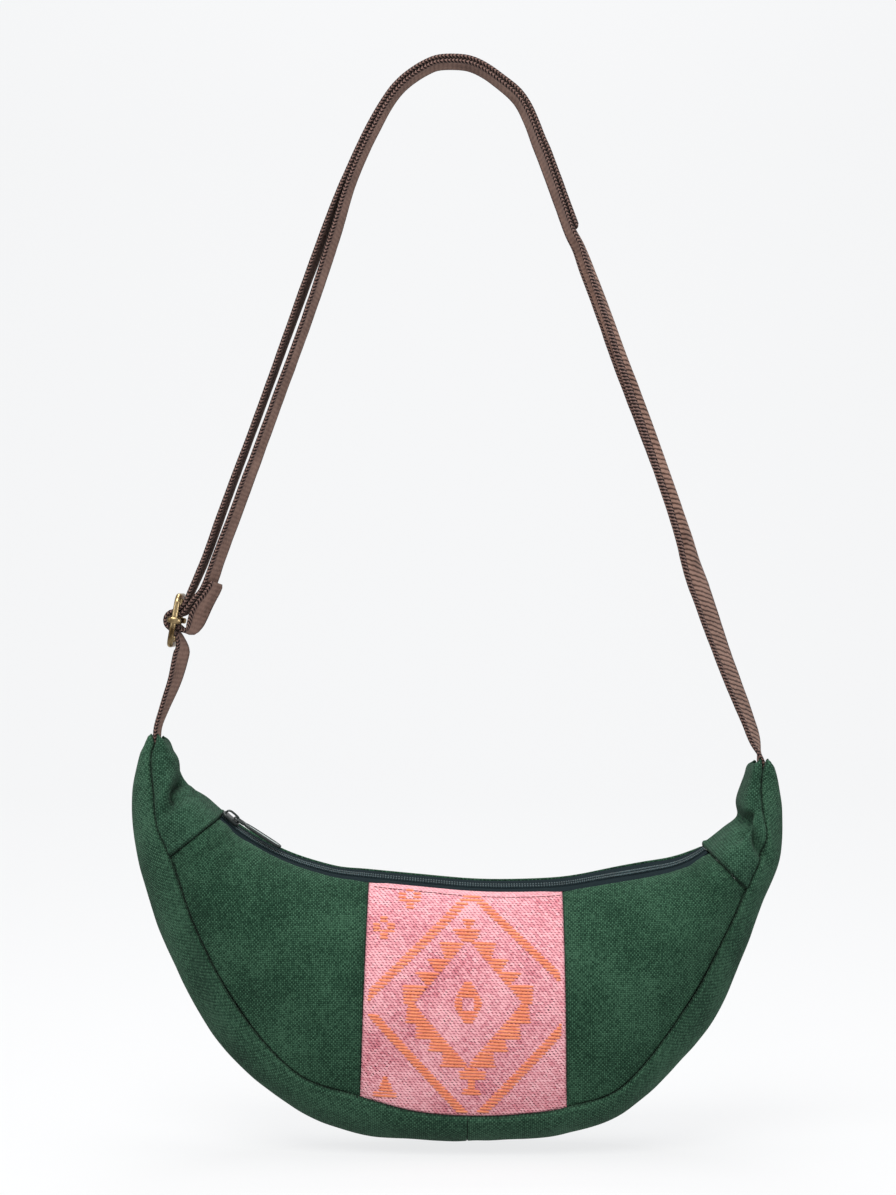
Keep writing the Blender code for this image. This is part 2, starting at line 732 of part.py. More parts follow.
def zip_pull(bag, mat):
    """The pull, whose end bar turns under the slider's bridge."""
    frame = slider_frame(bag)
    eye = Vector((1.6, 0.0, GAP + SLIDER_THICK + GAP + PULL_THICK / 2))
    start = -PULL_THICK / 2
    bm = block((PULL_LENGTH, PULL_WIDTH, PULL_THICK),
               (start + PULL_LENGTH / 2, 0, 0), 0.5)
    item = finish(bm, "zip_pull", mat)
    window = block((PULL_WINDOW, BRIDGE_WIDTH + 1.4, 4.0), (start + PULL_THICK + PULL_WINDOW / 2, 0, 0))
    cutter = finish(window, "pull_window_tool", mat)
    hide_tool(cutter)
    join_with(item, cutter, "DIFFERENCE")
    tilt = Matrix.Rotation(math.radians(-PULL_TILT), 4, "Y")
    hinge = frame @ Matrix.Translation(eye) @ tilt
    hinge.translation *= MM
    item.matrix_world = hinge
    cutter.matrix_world = hinge
    return item


def build():
    """Make the whole bag."""
    clear_scene()
    bag = Crescent()
    green = material("green_cloth", (0.030, 0.085, 0.048), 0.9)
    green_band = material("green_gusset", (0.034, 0.090, 0.052), 0.9)
    green_cap = material("green_horn", (0.028, 0.078, 0.045), 0.9)
    pink = material("pink_weave", (0.78, 0.30, 0.30), 0.85)
    tape = material("zip_tape", (0.020, 0.050, 0.052), 0.85)
    coil = material("zip_coil", (0.015, 0.038, 0.042), 0.5)
    enamel = material("dark_enamel", (0.012, 0.020, 0.020), 0.25, 0.3)
    web = material("brown_webbing", (0.17, 0.105, 0.085), 0.85)
    brass = material("antique_brass", (0.42, 0.30, 0.14), 0.35, 1.0)

    side_panel(bag, "front_panel_left", -1, "left_cap", "pink_left", 8, green)
    side_panel(bag, "front_panel_centre", -1, "pink_left", "pink_right", 8, pink)
    side_panel(bag, "front_panel_right", -1, "pink_right", "right_cap", 8, green)
    side_panel(bag, "back_panel", 1, "left_cap", "right_cap", 8, green)
    gusset(bag, "gusset_left", "left_tip", "middle", 6, green_band)
    gusset(bag, "gusset_right", "middle", "right_tip", 6, green_band)
    horn(bag, "horn_left", "left_tip", "left_cap", 14, green_cap)
    horn(bag, "horn_right", "right_cap", "right_tip", 14, green_cap)

    zip_strip(bag, "zip_tape_front", -1, TAPE_DROP, TAPE_THICK, 1, tape)
    zip_strip(bag, "zip_tape_back", 1, TAPE_DROP, TAPE_THICK, 1, tape)
    zip_strip(bag, "zip_coil", 0, -COIL_PROUD, COIL_THICK, 2, coil)
    zip_slider(bag, enamel)
    zip_pull(bag, enamel)

    webbing("strap_main", main_way(), WEBBING_SPACING, 4, web)
    webbing("strap_tail", tail_way(), WEBBING_SPACING, 4, web)
    buckle_frame(brass)
    buckle_bar(brass)


build()
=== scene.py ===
# %% [markdown]
# # A half moon bag on its webbing strap
# The bag is a crescent of thick green canvas with a hand woven pink piece in its front, a
# zip along its top and a strap of brown webbing that a wire buckle shortens. The packed
# CAD model gives every piece its place. This lesson dresses those pieces: it makes the
# cloth finer, rolls its seams, weaves its surface and lights it as in a studio.

# %% Load the frame
import bisect
import functools
import math

import bmesh
import bpy
import numpy as np
from mathutils import Matrix, Vector
from mathutils.bvhtree import BVHTree


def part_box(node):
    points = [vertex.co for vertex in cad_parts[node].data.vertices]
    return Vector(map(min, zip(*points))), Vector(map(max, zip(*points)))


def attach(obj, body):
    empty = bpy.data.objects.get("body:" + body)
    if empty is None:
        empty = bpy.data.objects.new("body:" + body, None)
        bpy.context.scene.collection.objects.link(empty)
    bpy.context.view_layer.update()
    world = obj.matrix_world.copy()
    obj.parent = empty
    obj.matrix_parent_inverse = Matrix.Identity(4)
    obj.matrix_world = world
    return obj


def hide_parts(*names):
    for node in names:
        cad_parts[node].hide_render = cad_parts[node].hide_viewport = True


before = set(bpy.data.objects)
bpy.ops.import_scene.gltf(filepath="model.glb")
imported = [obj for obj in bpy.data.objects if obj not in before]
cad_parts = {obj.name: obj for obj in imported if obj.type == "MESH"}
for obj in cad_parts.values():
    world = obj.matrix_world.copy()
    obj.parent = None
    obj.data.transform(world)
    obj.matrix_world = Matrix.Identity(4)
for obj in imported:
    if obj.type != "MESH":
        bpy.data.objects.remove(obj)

MM = 0.001
bpy.context.view_layer.update()

# %% [markdown]
# ## The camera and the studio
# The photograph was taken from straight ahead, level with the middle of the strap, from
# about a metre and a half. A long lens keeps the crescent's two horns alike. The bag hangs
# just above a white floor, under one broad soft light from the front and above, with a
# weaker one on each side and overhead. A fifth lamp lights only the far wall.

# %% Camera and lights
CAMERA_AT = (-2.5, -1500.0, -295.2)
LENS = 81.3

camera_data = bpy.data.cameras.new("photo_camera")
camera_data.lens = LENS
camera_data.sensor_width = 36.0
camera = bpy.data.objects.new("photo_camera", camera_data)
camera.location = [v * MM for v in CAMERA_AT]
camera.rotation_euler = (math.pi / 2, 0.0, 0.0)
bpy.context.scene.collection.objects.link(camera)
bpy.context.scene.camera = camera
bpy.context.scene.view_settings.view_transform = "Standard"

LIGHT_COLUMNS = ("name", "at", "towards", "size", "power", "colour")
LIGHTS = (
    ("front_top", (-0.35, -1.25, 0.95), (0.0, 0.0, -0.45), 1.2, 30.0, (1.0, 0.99, 0.97)),
    ("left_side", (-1.5, -0.6, 0.2), (0.0, 0.0, -0.45), 1.0, 4.5, (0.97, 0.99, 1.0)),
    ("right_side", (1.5, -0.5, -0.5), (0.0, 0.0, -0.5), 1.0, 10.0, (0.97, 0.99, 1.0)),
    ("above", (0.0, 0.1, 0.9), (0.0, 0.0, -0.5), 0.9, 10.0, (1.0, 1.0, 1.0)),
    ("wall", (0.0, 1.7, 2.3), (0.0, 3.6, -0.2), 1.2, 48.0, (0.97, 0.99, 1.0)),
)
for row in LIGHTS:
    light = dict(zip(LIGHT_COLUMNS, row))
    data = bpy.data.lights.new(light["name"], "AREA")
    data.shape = "DISK"
    data.size = light["size"]
    data.energy = light["power"]
    data.color = light["colour"]
    lamp = bpy.data.objects.new(light["name"], data)
    lamp.location = light["at"]
    way = Vector(light["towards"]) - Vector(light["at"])
    lamp.rotation_euler = way.to_track_quat("-Z", "Y").to_euler()
    bpy.context.scene.collection.objects.link(lamp)

world = bpy.data.worlds.new("studio")
world.use_nodes = True
bpy.context.scene.world = world
sky = world.node_tree.nodes
sky_links = world.node_tree.links
seen = sky.new("ShaderNodeBackground")
seen.inputs["Color"].default_value = (0.938, 0.944, 0.955, 1.0)
seen.inputs["Strength"].default_value = 1.0
lit = sky["Background"]
lit.inputs["Color"].default_value = (0.97, 0.985, 1.0, 1.0)
lit.inputs["Strength"].default_value = 0.36
path = sky.new("ShaderNodeLightPath")
pick = sky.new("ShaderNodeMixShader")
sky_links.new(path.outputs["Is Camera Ray"], pick.inputs["Fac"])
sky_links.new(lit.outputs["Background"], pick.inputs[1])
sky_links.new(seen.outputs["Background"], pick.inputs[2])
sky_links.new(pick.outputs["Shader"], sky["World Output"].inputs["Surface"])

print("lamps", ", ".join(row[0] for row in LIGHTS))

# %% [markdown]
# ## A floor without an edge
# A photographer's white paper comes forward as the floor and turns up, in one large bend,
# into the wall. A short line is spun for the bend and pulled out sideways. The wall stands
# far enough back that the bag can be looked at from behind too. The paper glows a little,
# which keeps it white without more light on the bag.

# %% The paper floor
FLOOR_Z = -601.0
COVE_FRONT, COVE_BACK, COVE_ROUND, COVE_TOP = -4.0, 3.6, 1.2, 6.0
COVE_HALF_WIDE = 5.0
GLOW_SEEN = 0.335
GLOW_ALWAYS = 0.45

cove = bmesh.new()
line = [cove.verts.new((-COVE_HALF_WIDE, COVE_FRONT, 0.0)),
        cove.verts.new((-COVE_HALF_WIDE, COVE_BACK - COVE_ROUND, 0.0))]
cove.edges.new(line)
bmesh.ops.spin(cove, geom=[line[1]], cent=(0.0, COVE_BACK - COVE_ROUND, COVE_ROUND),
               axis=(1, 0, 0), angle=math.pi / 2, steps=24)
wall = max(cove.verts, key=lambda v: v.co.z)
cove.edges.new([wall, cove.verts.new((-COVE_HALF_WIDE, COVE_BACK, COVE_TOP))])
made = bmesh.ops.extrude_edge_only(cove, edges=list(cove.edges))["geom"]
bmesh.ops.translate(cove, verts=[v for v in made if isinstance(v, bmesh.types.BMVert)],
                    vec=(2 * COVE_HALF_WIDE, 0.0, 0.0))
bmesh.ops.translate(cove, verts=cove.verts, vec=(0.0, 0.0, FLOOR_Z * MM))
bmesh.ops.recalc_face_normals(cove, faces=cove.faces)
floor_mesh = bpy.data.meshes.new("floor")
cove.to_mesh(floor_mesh)
cove.free()
floor_mesh.shade_smooth()
floor = bpy.data.objects.new("floor", floor_mesh)
bpy.context.scene.collection.objects.link(floor)
paper = bpy.data.materials.new("white_paper")
paper.use_nodes = True
paper_shader = paper.node_tree.nodes["Principled BSDF"]
paper_shader.inputs["Base Color"].default_value = (0.14, 0.14, 0.14, 1.0)
paper_shader.inputs["Roughness"].default_value = 0.95
paper_shader.inputs["Specular IOR Level"].default_value = 0.05
paper_shader.inputs["Emission Color"].default_value = (0.985, 0.99, 1.0, 1.0)
glow = paper.node_tree.nodes.new("ShaderNodeLightPath")
bright = paper.node_tree.nodes.new("ShaderNodeMath")
bright.operation = "MULTIPLY_ADD"
bright.inputs[1].default_value = GLOW_SEEN
bright.inputs[2].default_value = GLOW_ALWAYS
paper.node_tree.links.new(glow.outputs["Is Camera Ray"], bright.inputs[0])
paper.node_tree.links.new(bright.outputs[0], paper_shader.inputs["Emission Strength"])
floor_mesh.materials.append(paper)
print("floor", len(floor_mesh.polygons), "faces")

# %% [markdown]
# ## Node helpers
# A finish is a small machine of nodes. A few helpers keep it readable: one adds a node and
# wires its inputs in one call, one writes arithmetic as Math nodes, and others make a
# colour ramp, darken a colour or join colour and relief to the shader. Shared effects
# become node groups, with their own named sockets.

# %% Node helpers
def wire(tree, kind, out=0, settings=None, **inputs):
    """Add a node. Each input is a number, a colour or another node's output."""
    node = tree.nodes.new(kind)
    for key, value in (settings or {}).items():
        setattr(node, key, value)
    for key, value in inputs.items():
        name = key.replace("_", " ")
        socket = node.inputs[int(name[1:])] if name[0] == "i" and name[1:].isdigit() \
            else node.inputs[name]
        if isinstance(value, bpy.types.NodeSocket):
            tree.links.new(value, socket)
        else:
            socket.default_value = value
    return node.outputs[out]


def maths(tree, operation, *values):
    """A Math node."""
    return wire(tree, "ShaderNodeMath", settings={"operation": operation},
                **{f"i{i}": v for i, v in enumerate(values)})


def blend_colours(tree, factor, a, b, how="MIX"):
    """A Mix node for colours."""
    return wire(tree, "ShaderNodeMix", 2, {"data_type": "RGBA", "blend_type": how},
                i0=factor, i6=a, i7=b)


def ramp_colours(tree, factor, first, last, between=None):
    """A colour ramp. Each stop is a position and a colour."""
    ramp = wire(tree, "ShaderNodeValToRGB", 0, Fac=factor)
    stops = ramp.node.color_ramp.elements
    for stop, (position, colour) in zip(stops, (first, last)):
        stop.position = position
        stop.color = (*colour, 1.0)
    if between:
        stops.new(between[0]).color = (*between[1], 1.0)
    return ramp


def darken(tree, colour, shade):
    """A colour multiplied by a grey."""
    grey = wire(tree, "ShaderNodeCombineColor", 0, Red=shade, Green=shade, Blue=shade)
    return blend_colours(tree, 1.0, colour, grey, "MULTIPLY")


def point_value(tree, name):
    """A number that the mesh keeps for each point."""
    return wire(tree, "ShaderNodeAttribute", 2, {"attribute_name": name})


def paint(tree, shader, colour, height, strength, distance):
    """Join a colour and a small relief to the shader."""
    tree.links.new(colour, shader.inputs["Base Color"])
    bump = wire(tree, "ShaderNodeBump", 0, Strength=strength, Distance=distance, Height=height)
    tree.links.new(bump, shader.inputs["Normal"])


def node_group(name, takes, gives):
    """A new shader group with named inputs and outputs."""
    group = bpy.data.node_groups.new(name, "ShaderNodeTree")
    for label, kind, value in takes:
        socket = group.interface.new_socket(label, in_out="INPUT", socket_type=kind)
        if value is not None:
            socket.default_value = value
    for label, kind in gives:
        group.interface.new_socket(label, in_out="OUTPUT", socket_type=kind)
    into = group.nodes.new("NodeGroupInput")
    outof = group.nodes.new("NodeGroupOutput")
    return group, into.outputs, outof.inputs


def use_group(tree, group, **inputs):
    """Place a group in a material."""
    node = tree.nodes.new("ShaderNodeGroup")
    node.node_tree = group
    for key, value in inputs.items():
        socket = node.inputs[key.replace("_", " ")]
        if isinstance(value, bpy.types.NodeSocket):
            tree.links.new(value, socket)
        else:
            socket.default_value = value
    return node.outputs


def new_material(name, roughness, metallic=0.0, **sockets):
    """A Principled material: its tree, its shader and itself."""
    mat = bpy.data.materials.new(name)
    mat.use_nodes = True
    shader = mat.node_tree.nodes["Principled BSDF"]
    shader.inputs["Roughness"].default_value = roughness
    shader.inputs["Metallic"].default_value = metallic
    for key, value in sockets.items():
        shader.inputs[key.replace("_", " ")].default_value = value
    return mat, mat.node_tree, shader


# %% [markdown]
# ## Plain weave
# Canvas is a plain weave: each thread goes over one and under the next. The group below
# counts the threads from the piece's own flat coordinates and makes each crossing a small
# pillow. It gives the pillow's height, a chance number for each crossing, and whether the
# warp or the weft lies on top, which the materials turn into lighter and darker threads.
# A second group holds the slow changes of tone that all the cloths share.

# %% The weave group
def make_weave():
    """Plain weave: height, speck and warp at each place of a flat pattern."""
    group, takes, gives = node_group(
        "plain_weave",
        [("Vector", "NodeSocketVector", None), ("Pitch", "NodeSocketFloat", 0.0012)],
        [("Height", "NodeSocketFloat"), ("Speck", "NodeSocketFloat"),
         ("Warp", "NodeSocketFloat")])
    split = wire(group, "ShaderNodeSeparateXYZ", Vector=takes["Vector"]).node
    u = maths(group, "DIVIDE", split.outputs["X"], takes["Pitch"])
    v = maths(group, "DIVIDE", split.outputs["Y"], takes["Pitch"])
    waver = wire(group, "ShaderNodeTexNoise", 0, {"noise_dimensions": "3D"},
                 Vector=takes["Vector"], Scale=260.0, Detail=2.0)
    bend = maths(group, "MULTIPLY", maths(group, "SUBTRACT", waver, 0.5), 0.55)
    u = maths(group, "ADD", u, bend)
    v = maths(group, "SUBTRACT", v, bend)
    fu = maths(group, "SUBTRACT", maths(group, "FRACT", u), 0.5)
    fv = maths(group, "SUBTRACT", maths(group, "FRACT", v), 0.5)
    iu = maths(group, "FLOOR", u)
    iv = maths(group, "FLOOR", v)
    odd = maths(group, "PINGPONG", maths(group, "ADD", iu, iv), 1.0)
    across_u = maths(group, "COSINE", maths(group, "MULTIPLY", fu, 3.0))
    across_v = maths(group, "COSINE", maths(group, "MULTIPLY", fv, 3.0))
    long_u = maths(group, "COSINE", maths(group, "MULTIPLY", fu, 1.9))
    long_v = maths(group, "COSINE", maths(group, "MULTIPLY", fv, 1.9))
    over = maths(group, "MULTIPLY", across_u, long_v)
    under = maths(group, "MULTIPLY", across_v, long_u)
    mixed = wire(group, "ShaderNodeMix", 0, {"data_type": "FLOAT"}, i0=odd, i2=under, i3=over)
    cell = wire(group, "ShaderNodeCombineXYZ", X=iu, Y=iv, Z=0.0)
    speck = wire(group, "ShaderNodeTexWhiteNoise", 0, {"noise_dimensions": "3D"}, Vector=cell)
    group.links.new(mixed, gives["Height"])
    group.links.new(speck, gives["Speck"])
    group.links.new(odd, gives["Warp"])
    return group


def make_shade():
    """Slow changes of tone over a cloth: dye, fading and handling."""
    group, takes, gives = node_group(
        "cloth_tone",
        [("Vector", "NodeSocketVector", None), ("Scale", "NodeSocketFloat", 30.0)],
        [("Tone", "NodeSocketFloat")])
    broad = wire(group, "ShaderNodeTexNoise", 0, Vector=takes["Vector"],
                 Scale=takes["Scale"], Detail=3.0, Roughness=0.55)
    fine = wire(group, "ShaderNodeTexNoise", 0, Vector=takes["Vector"], Scale=420.0,
                Detail=2.0)
    tone = maths(group, "ADD", maths(group, "MULTIPLY", broad, 0.7),
                 maths(group, "MULTIPLY", fine, 0.3))
    group.links.new(tone, gives["Tone"])
    return group


plain_weave = make_weave()
cloth_tone = make_shade()
print("groups", plain_weave.name, cloth_tone.name)

# %% [markdown]
# ## Green canvas
# The canvas is dyed a deep bottle green. Its threads aren't all one colour: light flecks
# stand beside dark gaps, and the cloth is a little paler where it is handled. Shade is
# painted on as well, darker down in the seams and hems and in the pressed creases, by a
# number kept with each point that grows near a seam and in a crease.

# %% Canvas materials
def canvas(name, dark, middle, light, pitch=0.00108, relief=0.00030):
    """Coarse cotton canvas between three tones of one dye."""
    mat, tree, shader = new_material(name, 0.95, Specular_IOR_Level=0.10, Sheen_Weight=0.03,
                                     Sheen_Roughness=0.6)
    flat = wire(tree, "ShaderNodeUVMap", 0, {"uv_map": "flat"})
    weave = use_group(tree, plain_weave, Vector=flat, Pitch=pitch)
    tone = use_group(tree, cloth_tone, Vector=flat, Scale=24.0)["Tone"]
    speck = maths(tree, "MULTIPLY_ADD", weave["Speck"], 0.50,
                  maths(tree, "MULTIPLY_ADD", weave["Warp"], 0.40, -0.24))
    lift = maths(tree, "MULTIPLY_ADD", weave["Height"], 0.80, -0.20)
    amount = maths(tree, "ADD", maths(tree, "ADD", speck, lift),
                   maths(tree, "MULTIPLY", maths(tree, "SUBTRACT", tone, 0.5), 1.6))
    dyed = ramp_colours(tree, amount, (0.12, dark), (0.95, light), (0.5, middle))
    # Painted shade: darker near the seams and hems and in the pressed creases.
    shade = maths(tree, "MULTIPLY_ADD", point_value(tree, "edge_and_painted_shade"), -0.56, 1.0)
    paint(tree, shader, darken(tree, dyed, shade), weave["Height"], 0.75, relief)
    return mat


green_panel = canvas("green_canvas", (0.006, 0.026, 0.014), (0.020, 0.062, 0.035),
                     (0.050, 0.124, 0.074))
green_band = canvas("green_gusset_canvas", (0.008, 0.030, 0.017), (0.024, 0.070, 0.041),
                    (0.058, 0.138, 0.084))
green_cap = canvas("green_horn_canvas", (0.007, 0.027, 0.015), (0.021, 0.062, 0.037),
                   (0.050, 0.122, 0.075))
print("canvases", green_panel.name, green_band.name, green_cap.name)

# %% [markdown]
# ## The crescent's cross-sections
# The bag is a loft. Each row below is one cut through it, from the left tip to the right:
# where the zip line and the bottom lie, how deep the cloth stands at the opening, belly
# and seam, and how square each curve is. The CAD solids were shaped by the same sections,
# so the dressed cloth lies where they are. A second table presses broad folds into it.

# %% Tables of the crescent
CLOTH = 2.0
GAP = 0.3
SEAM_GAP = 0.06
LIP_OPENING = 5.0
BELLY_AT = 0.58

STATION_COLUMNS = ("name", "top_x", "top_z", "base_x", "base_z", "seam", "half_top",
                   "half_belly", "half_seam", "shoulder", "round", "rise")
STATIONS = (
    ("left_tip", -159.7, -372.0, -168.9, -372.0, 0.50, 0.0, 15.6, 15.4, 4.5, 4.5, 0.0),
    ("left_lip", -157.6, -375.5, -170.5, -376.0, 0.50, 0.0, 15.8, 15.5, 4.2, 4.2, 0.0),
    ("left_neck", -155.6, -380.0, -173.3, -382.0, 0.58, 0.0, 16.5, 15.8, 3.2, 3.2, 0.0),
    ("left_horn", -150.0, -395.0, -177.5, -401.5, 0.54, 0.0, 21.5, 19.0, 2.3, 2.3, 0.0),
    ("left_brow", -137.5, -406.5, -177.0, -424.5, 0.63, 3.0, 27.0, 24.0, 2.1, 2.1, 0.5),
    ("left_cap", -128.5, -416.5, -172.0, -450.0, 0.60, 9.0, 31.0, 27.5, 1.9, 2.0, 1.5),
    ("left_end", -114.5, -428.5, -154.5, -498.5, 0.66, 11.0, 34.5, 30.0, 1.7, 2.0, 3.0),
    ("left_side", -92.5, -440.5, -127.0, -545.0, 0.74, 11.0, 37.0, 31.0, 1.6, 2.0, 3.5),
    ("left_low", -67.5, -448.5, -89.5, -577.5, 0.82, 11.0, 38.5, 31.5, 1.6, 2.0, 4.0),
    ("pink_left", -46.0, -451.5, -51.5, -592.5, 0.82, 11.0, 39.0, 31.5, 1.6, 2.1, 4.5),
    ("left_mid", -18.0, -454.3, -21.5, -595.0, 0.86, 11.0, 39.0, 31.5, 1.6, 2.1, 4.6),
    ("middle", 9.5, -456.8, 8.0, -596.0, 0.87, 11.0, 39.0, 31.5, 1.6, 2.1, 4.6),
    ("right_mid", 34.5, -457.4, 35.5, -595.0, 0.87, 11.0, 39.0, 31.5, 1.6, 2.1, 4.8),
    ("pink_right", 60.5, -456.5, 62.5, -592.0, 0.86, 11.0, 39.0, 31.5, 1.6, 2.1, 5.2),
    ("right_low", 84.0, -453.0, 96.5, -579.0, 0.85, 11.0, 38.5, 31.5, 1.6, 2.0, 6.0),
    ("right_side", 109.0, -449.0, 140.5, -535.5, 0.73, 11.0, 37.0, 31.0, 1.6, 2.0, 6.5),
    ("right_end", 127.5, -444.0, 160.3, -495.5, 0.68, 11.0, 34.5, 29.5, 1.7, 2.0, 5.0),
    ("right_cap", 141.0, -435.0, 172.0, -465.5, 0.64, 9.0, 31.0, 27.5, 1.9, 2.0, 2.5),
    ("right_brow", 157.5, -418.0, 181.5, -439.0, 0.58, 3.0, 26.0, 24.0, 2.1, 2.1, 0.5),
    ("right_horn", 158.6, -406.5, 183.0, -414.5, 0.48, 0.0, 21.0, 19.5, 2.3, 2.3, 0.0),
    ("right_neck", 163.0, -394.5, 180.8, -398.5, 0.40, 0.0, 16.5, 15.8, 3.2, 3.2, 0.0),
    ("right_lip", 164.6, -389.0, 178.6, -390.5, 0.45, 0.0, 15.8, 15.5, 4.2, 4.2, 0.0),
    ("right_tip", 166.6, -385.5, 176.8, -386.0, 0.50, 0.0, 15.6, 15.4, 4.5, 4.5, 0.0),
)

# Broad dents and folds: where along the crescent and down the panel, and how deep.
FOLD_COLUMNS = ("near", "along", "down", "depth", "spread_along", "spread_down")
FOLDS = (
    ("left_horn", 10.0, 0.45, 3.0, 7.0, 0.30),
    ("left_brow", 8.0, 0.70, -1.2, 8.0, 0.25),
    ("right_brow", 1.0, 0.35, 2.6, 6.0, 0.30),
    ("right_cap", 6.0, 0.60, -1.2, 7.0, 0.25),
    ("left_side", 0.0, 0.90, 1.6, 14.0, 0.14),
    ("right_side", 6.0, 0.88, 1.6, 14.0, 0.14),
    ("left_low", 8.0, 0.12, 1.0, 16.0, 0.10),
    ("right_low", -6.0, 0.12, 1.0, 16.0, 0.10),
)
print(len(STATIONS), "sections and", len(FOLDS), "folds")

# %% [markdown]
# ## A skin worked out from the table
# Between the rows every column is joined by a smooth curve. One half section is a row of
# points: down the shoulder, over the belly, to the seam and round under the bag. The two
# halves are joined end to end, so that a cap can run over the top and a gusset under the
# bottom without a break.

# %% The crescent's skin
def hermite(knots, values, at):
    """Smooth value of a table column between its rows."""
    i = min(max(bisect.bisect_right(knots, at) - 1, 0), len(knots) - 2)
    step = knots[i + 1] - knots[i]
    t = (at - knots[i]) / step

    def slope(k):
        a = max(k - 1, 0)
        b = min(k + 1, len(knots) - 1)
        return (values[b] - values[a]) / (knots[b] - knots[a])

    m0 = slope(i) * step
    m1 = slope(i + 1) * step
    t2 = t * t
    t3 = t2 * t
    return ((2 * t3 - 3 * t2 + 1) * values[i] + (t3 - 2 * t2 + t) * m0
            + (3 * t2 - 2 * t3) * values[i + 1] + (t3 - t2) * m1)


def running_lengths(points):
    """Length along a row of points, up to each of them."""
    steps = np.linalg.norm(np.diff(np.array(points, float), axis=0), axis=1)
    return np.concatenate([[0.0], np.cumsum(steps)])


class Crescent:
    """The bag's outer skin, worked out from the table of cross-sections."""

    def __init__(self):
        self.rows = [dict(zip(STATION_COLUMNS, r)) for r in STATIONS]
        tops = running_lengths([(r["top_x"], r["top_z"]) for r in self.rows])
        bases = running_lengths([(r["base_x"], r["base_z"]) for r in self.rows])
        self.knots = [float(k) for k in (tops + bases) / 2]
        self.at = {r["name"]: k for r, k in zip(self.rows, self.knots)}

    @functools.lru_cache(maxsize=None)
    def row(self, s):
        return {c: hermite(self.knots, [r[c] for r in self.rows], s)
                for c in STATION_COLUMNS[1:]}

    @functools.lru_cache(maxsize=None)
    def half(self, s, side):
        """Half a cross-section: lengths, how far down, how far out, and its marks."""
        row = self.row(s)
        length = math.dist((row["top_x"], row["top_z"]), (row["base_x"], row["base_z"]))
        seam = row["seam"] * length
        half_top = max(row["half_top"], 0.0)
        rise = max(row["rise"], 0.0)
        edge = -rise if side > 0 else 0.0
        belly = edge + BELLY_AT * (seam - edge)
        step = np.arange(4) / 4
        down = [-rise / 2 + (edge + rise / 2) * step]
        out = [half_top * step]
        angle = math.pi / 2 * np.arange(25) / 24
        power = 2 / row["shoulder"]
        down.append(edge + (1 - np.abs(np.cos(angle)) ** power) * (belly - edge))
        out.append(half_top + np.sin(angle) ** power * (row["half_belly"] - half_top))
        f = np.arange(1, 13) / 12
        down.append(belly + f * (seam - belly))
        out.append(row["half_belly"]
                   + f * f * (1.6 - 0.6 * f) * (row["half_seam"] - row["half_belly"]))
        angle = math.pi / 2 * np.arange(1, 25) / 24
        power = 2 / row["round"]
        down.append(seam + np.sin(angle) ** power * (length - seam))
        out.append(row["half_seam"] * np.abs(np.cos(angle)) ** power)
        down = np.concatenate(down)
        out = np.concatenate(out)
        out[-1] = 0.0
        lengths = running_lengths(np.stack([down, out], axis=1))
        marks = {"middle": 0.0, "edge": lengths[4], "seam": lengths[40], "base": lengths[-1]}
        return lengths, down, out, marks

    @functools.lru_cache(maxsize=None)
    def whole(self, s, side):
        """The section from the other side, over the top, down this side and round again."""
        lengths, down, out, marks = self.half(s, side)
        other, other_down, other_out, _ = self.half(s, -side)
        t = np.concatenate([-other[::-1][:-1], lengths,
                            lengths[-1] + (other[-1] - other[::-1])[1:]])
        d = np.concatenate([other_down[::-1][:-1], down, other_down[::-1][1:]])
        o = np.concatenate([-other_out[::-1][:-1], out, -other_out[::-1][1:]])
        return t, d, o

    def points(self, s, side, t):
        """Points at lengths t along the section."""
        places, down, out = self.whole(s, side)
        row = self.row(s)
        way = np.array([row["base_x"] - row["top_x"], row["base_z"] - row["top_z"]])
        way /= np.hypot(*way)
        d = np.interp(t, places, down)
        o = np.interp(t, places, out)
        return np.stack([row["top_x"] + way[0] * d, side * o, row["top_z"] + way[1] * d], 1)

    def lid(self, s, out, drop):
        """A point of the zip's surface, out from its middle and drop below it."""
        row = self.row(s)
        way = np.array([row["base_x"] - row["top_x"], row["base_z"] - row["top_z"]])
        way /= np.hypot(*way)
        lift = row["rise"] * (out / row["half_top"] + 1) / 2 - drop
        return Vector((row["top_x"] - way[0] * lift, out, row["top_z"] - way[1] * lift))


bag = Crescent()
print("length along the crescent", round(bag.knots[-1], 1), "mm")

# %% [markdown]
# ## Small unevenness
# Nothing sewn is quite even. Smooth noise, made from a seeded table of numbers, ripples
# the cloth a little, puckers it along its seams and waves the webbing's edges. The seed
# makes every run the same. The sharper creases of the horns are drawn one by one, because
# they give those ends their look, and chance would never put them there.

# %% Smooth noise
def make_noise(seed):
    """Smooth noise between -1 and 1 over a plane."""
    grid = np.random.default_rng(seed).random((128, 128)) * 2 - 1

    def noise(x, y):
        x, y = np.broadcast_arrays(np.asarray(x, float), np.asarray(y, float))
        i = np.floor(x).astype(int)
        j = np.floor(y).astype(int)
        fx = x - i
        fy = y - j
        fx = fx * fx * (3 - 2 * fx)
        fy = fy * fy * (3 - 2 * fy)
        a = grid[i % 128, j % 128] * (1 - fx) + grid[(i + 1) % 128, j % 128] * fx
        b = grid[i % 128, (j + 1) % 128] * (1 - fx) + grid[(i + 1) % 128, (j + 1) % 128] * fx
        return a * (1 - fy) + b * fy

    return noise


ripple = make_noise(4)
pucker = make_noise(11)
print("noise at 1, 1:", round(float(ripple(1.0, 1.0)), 3))

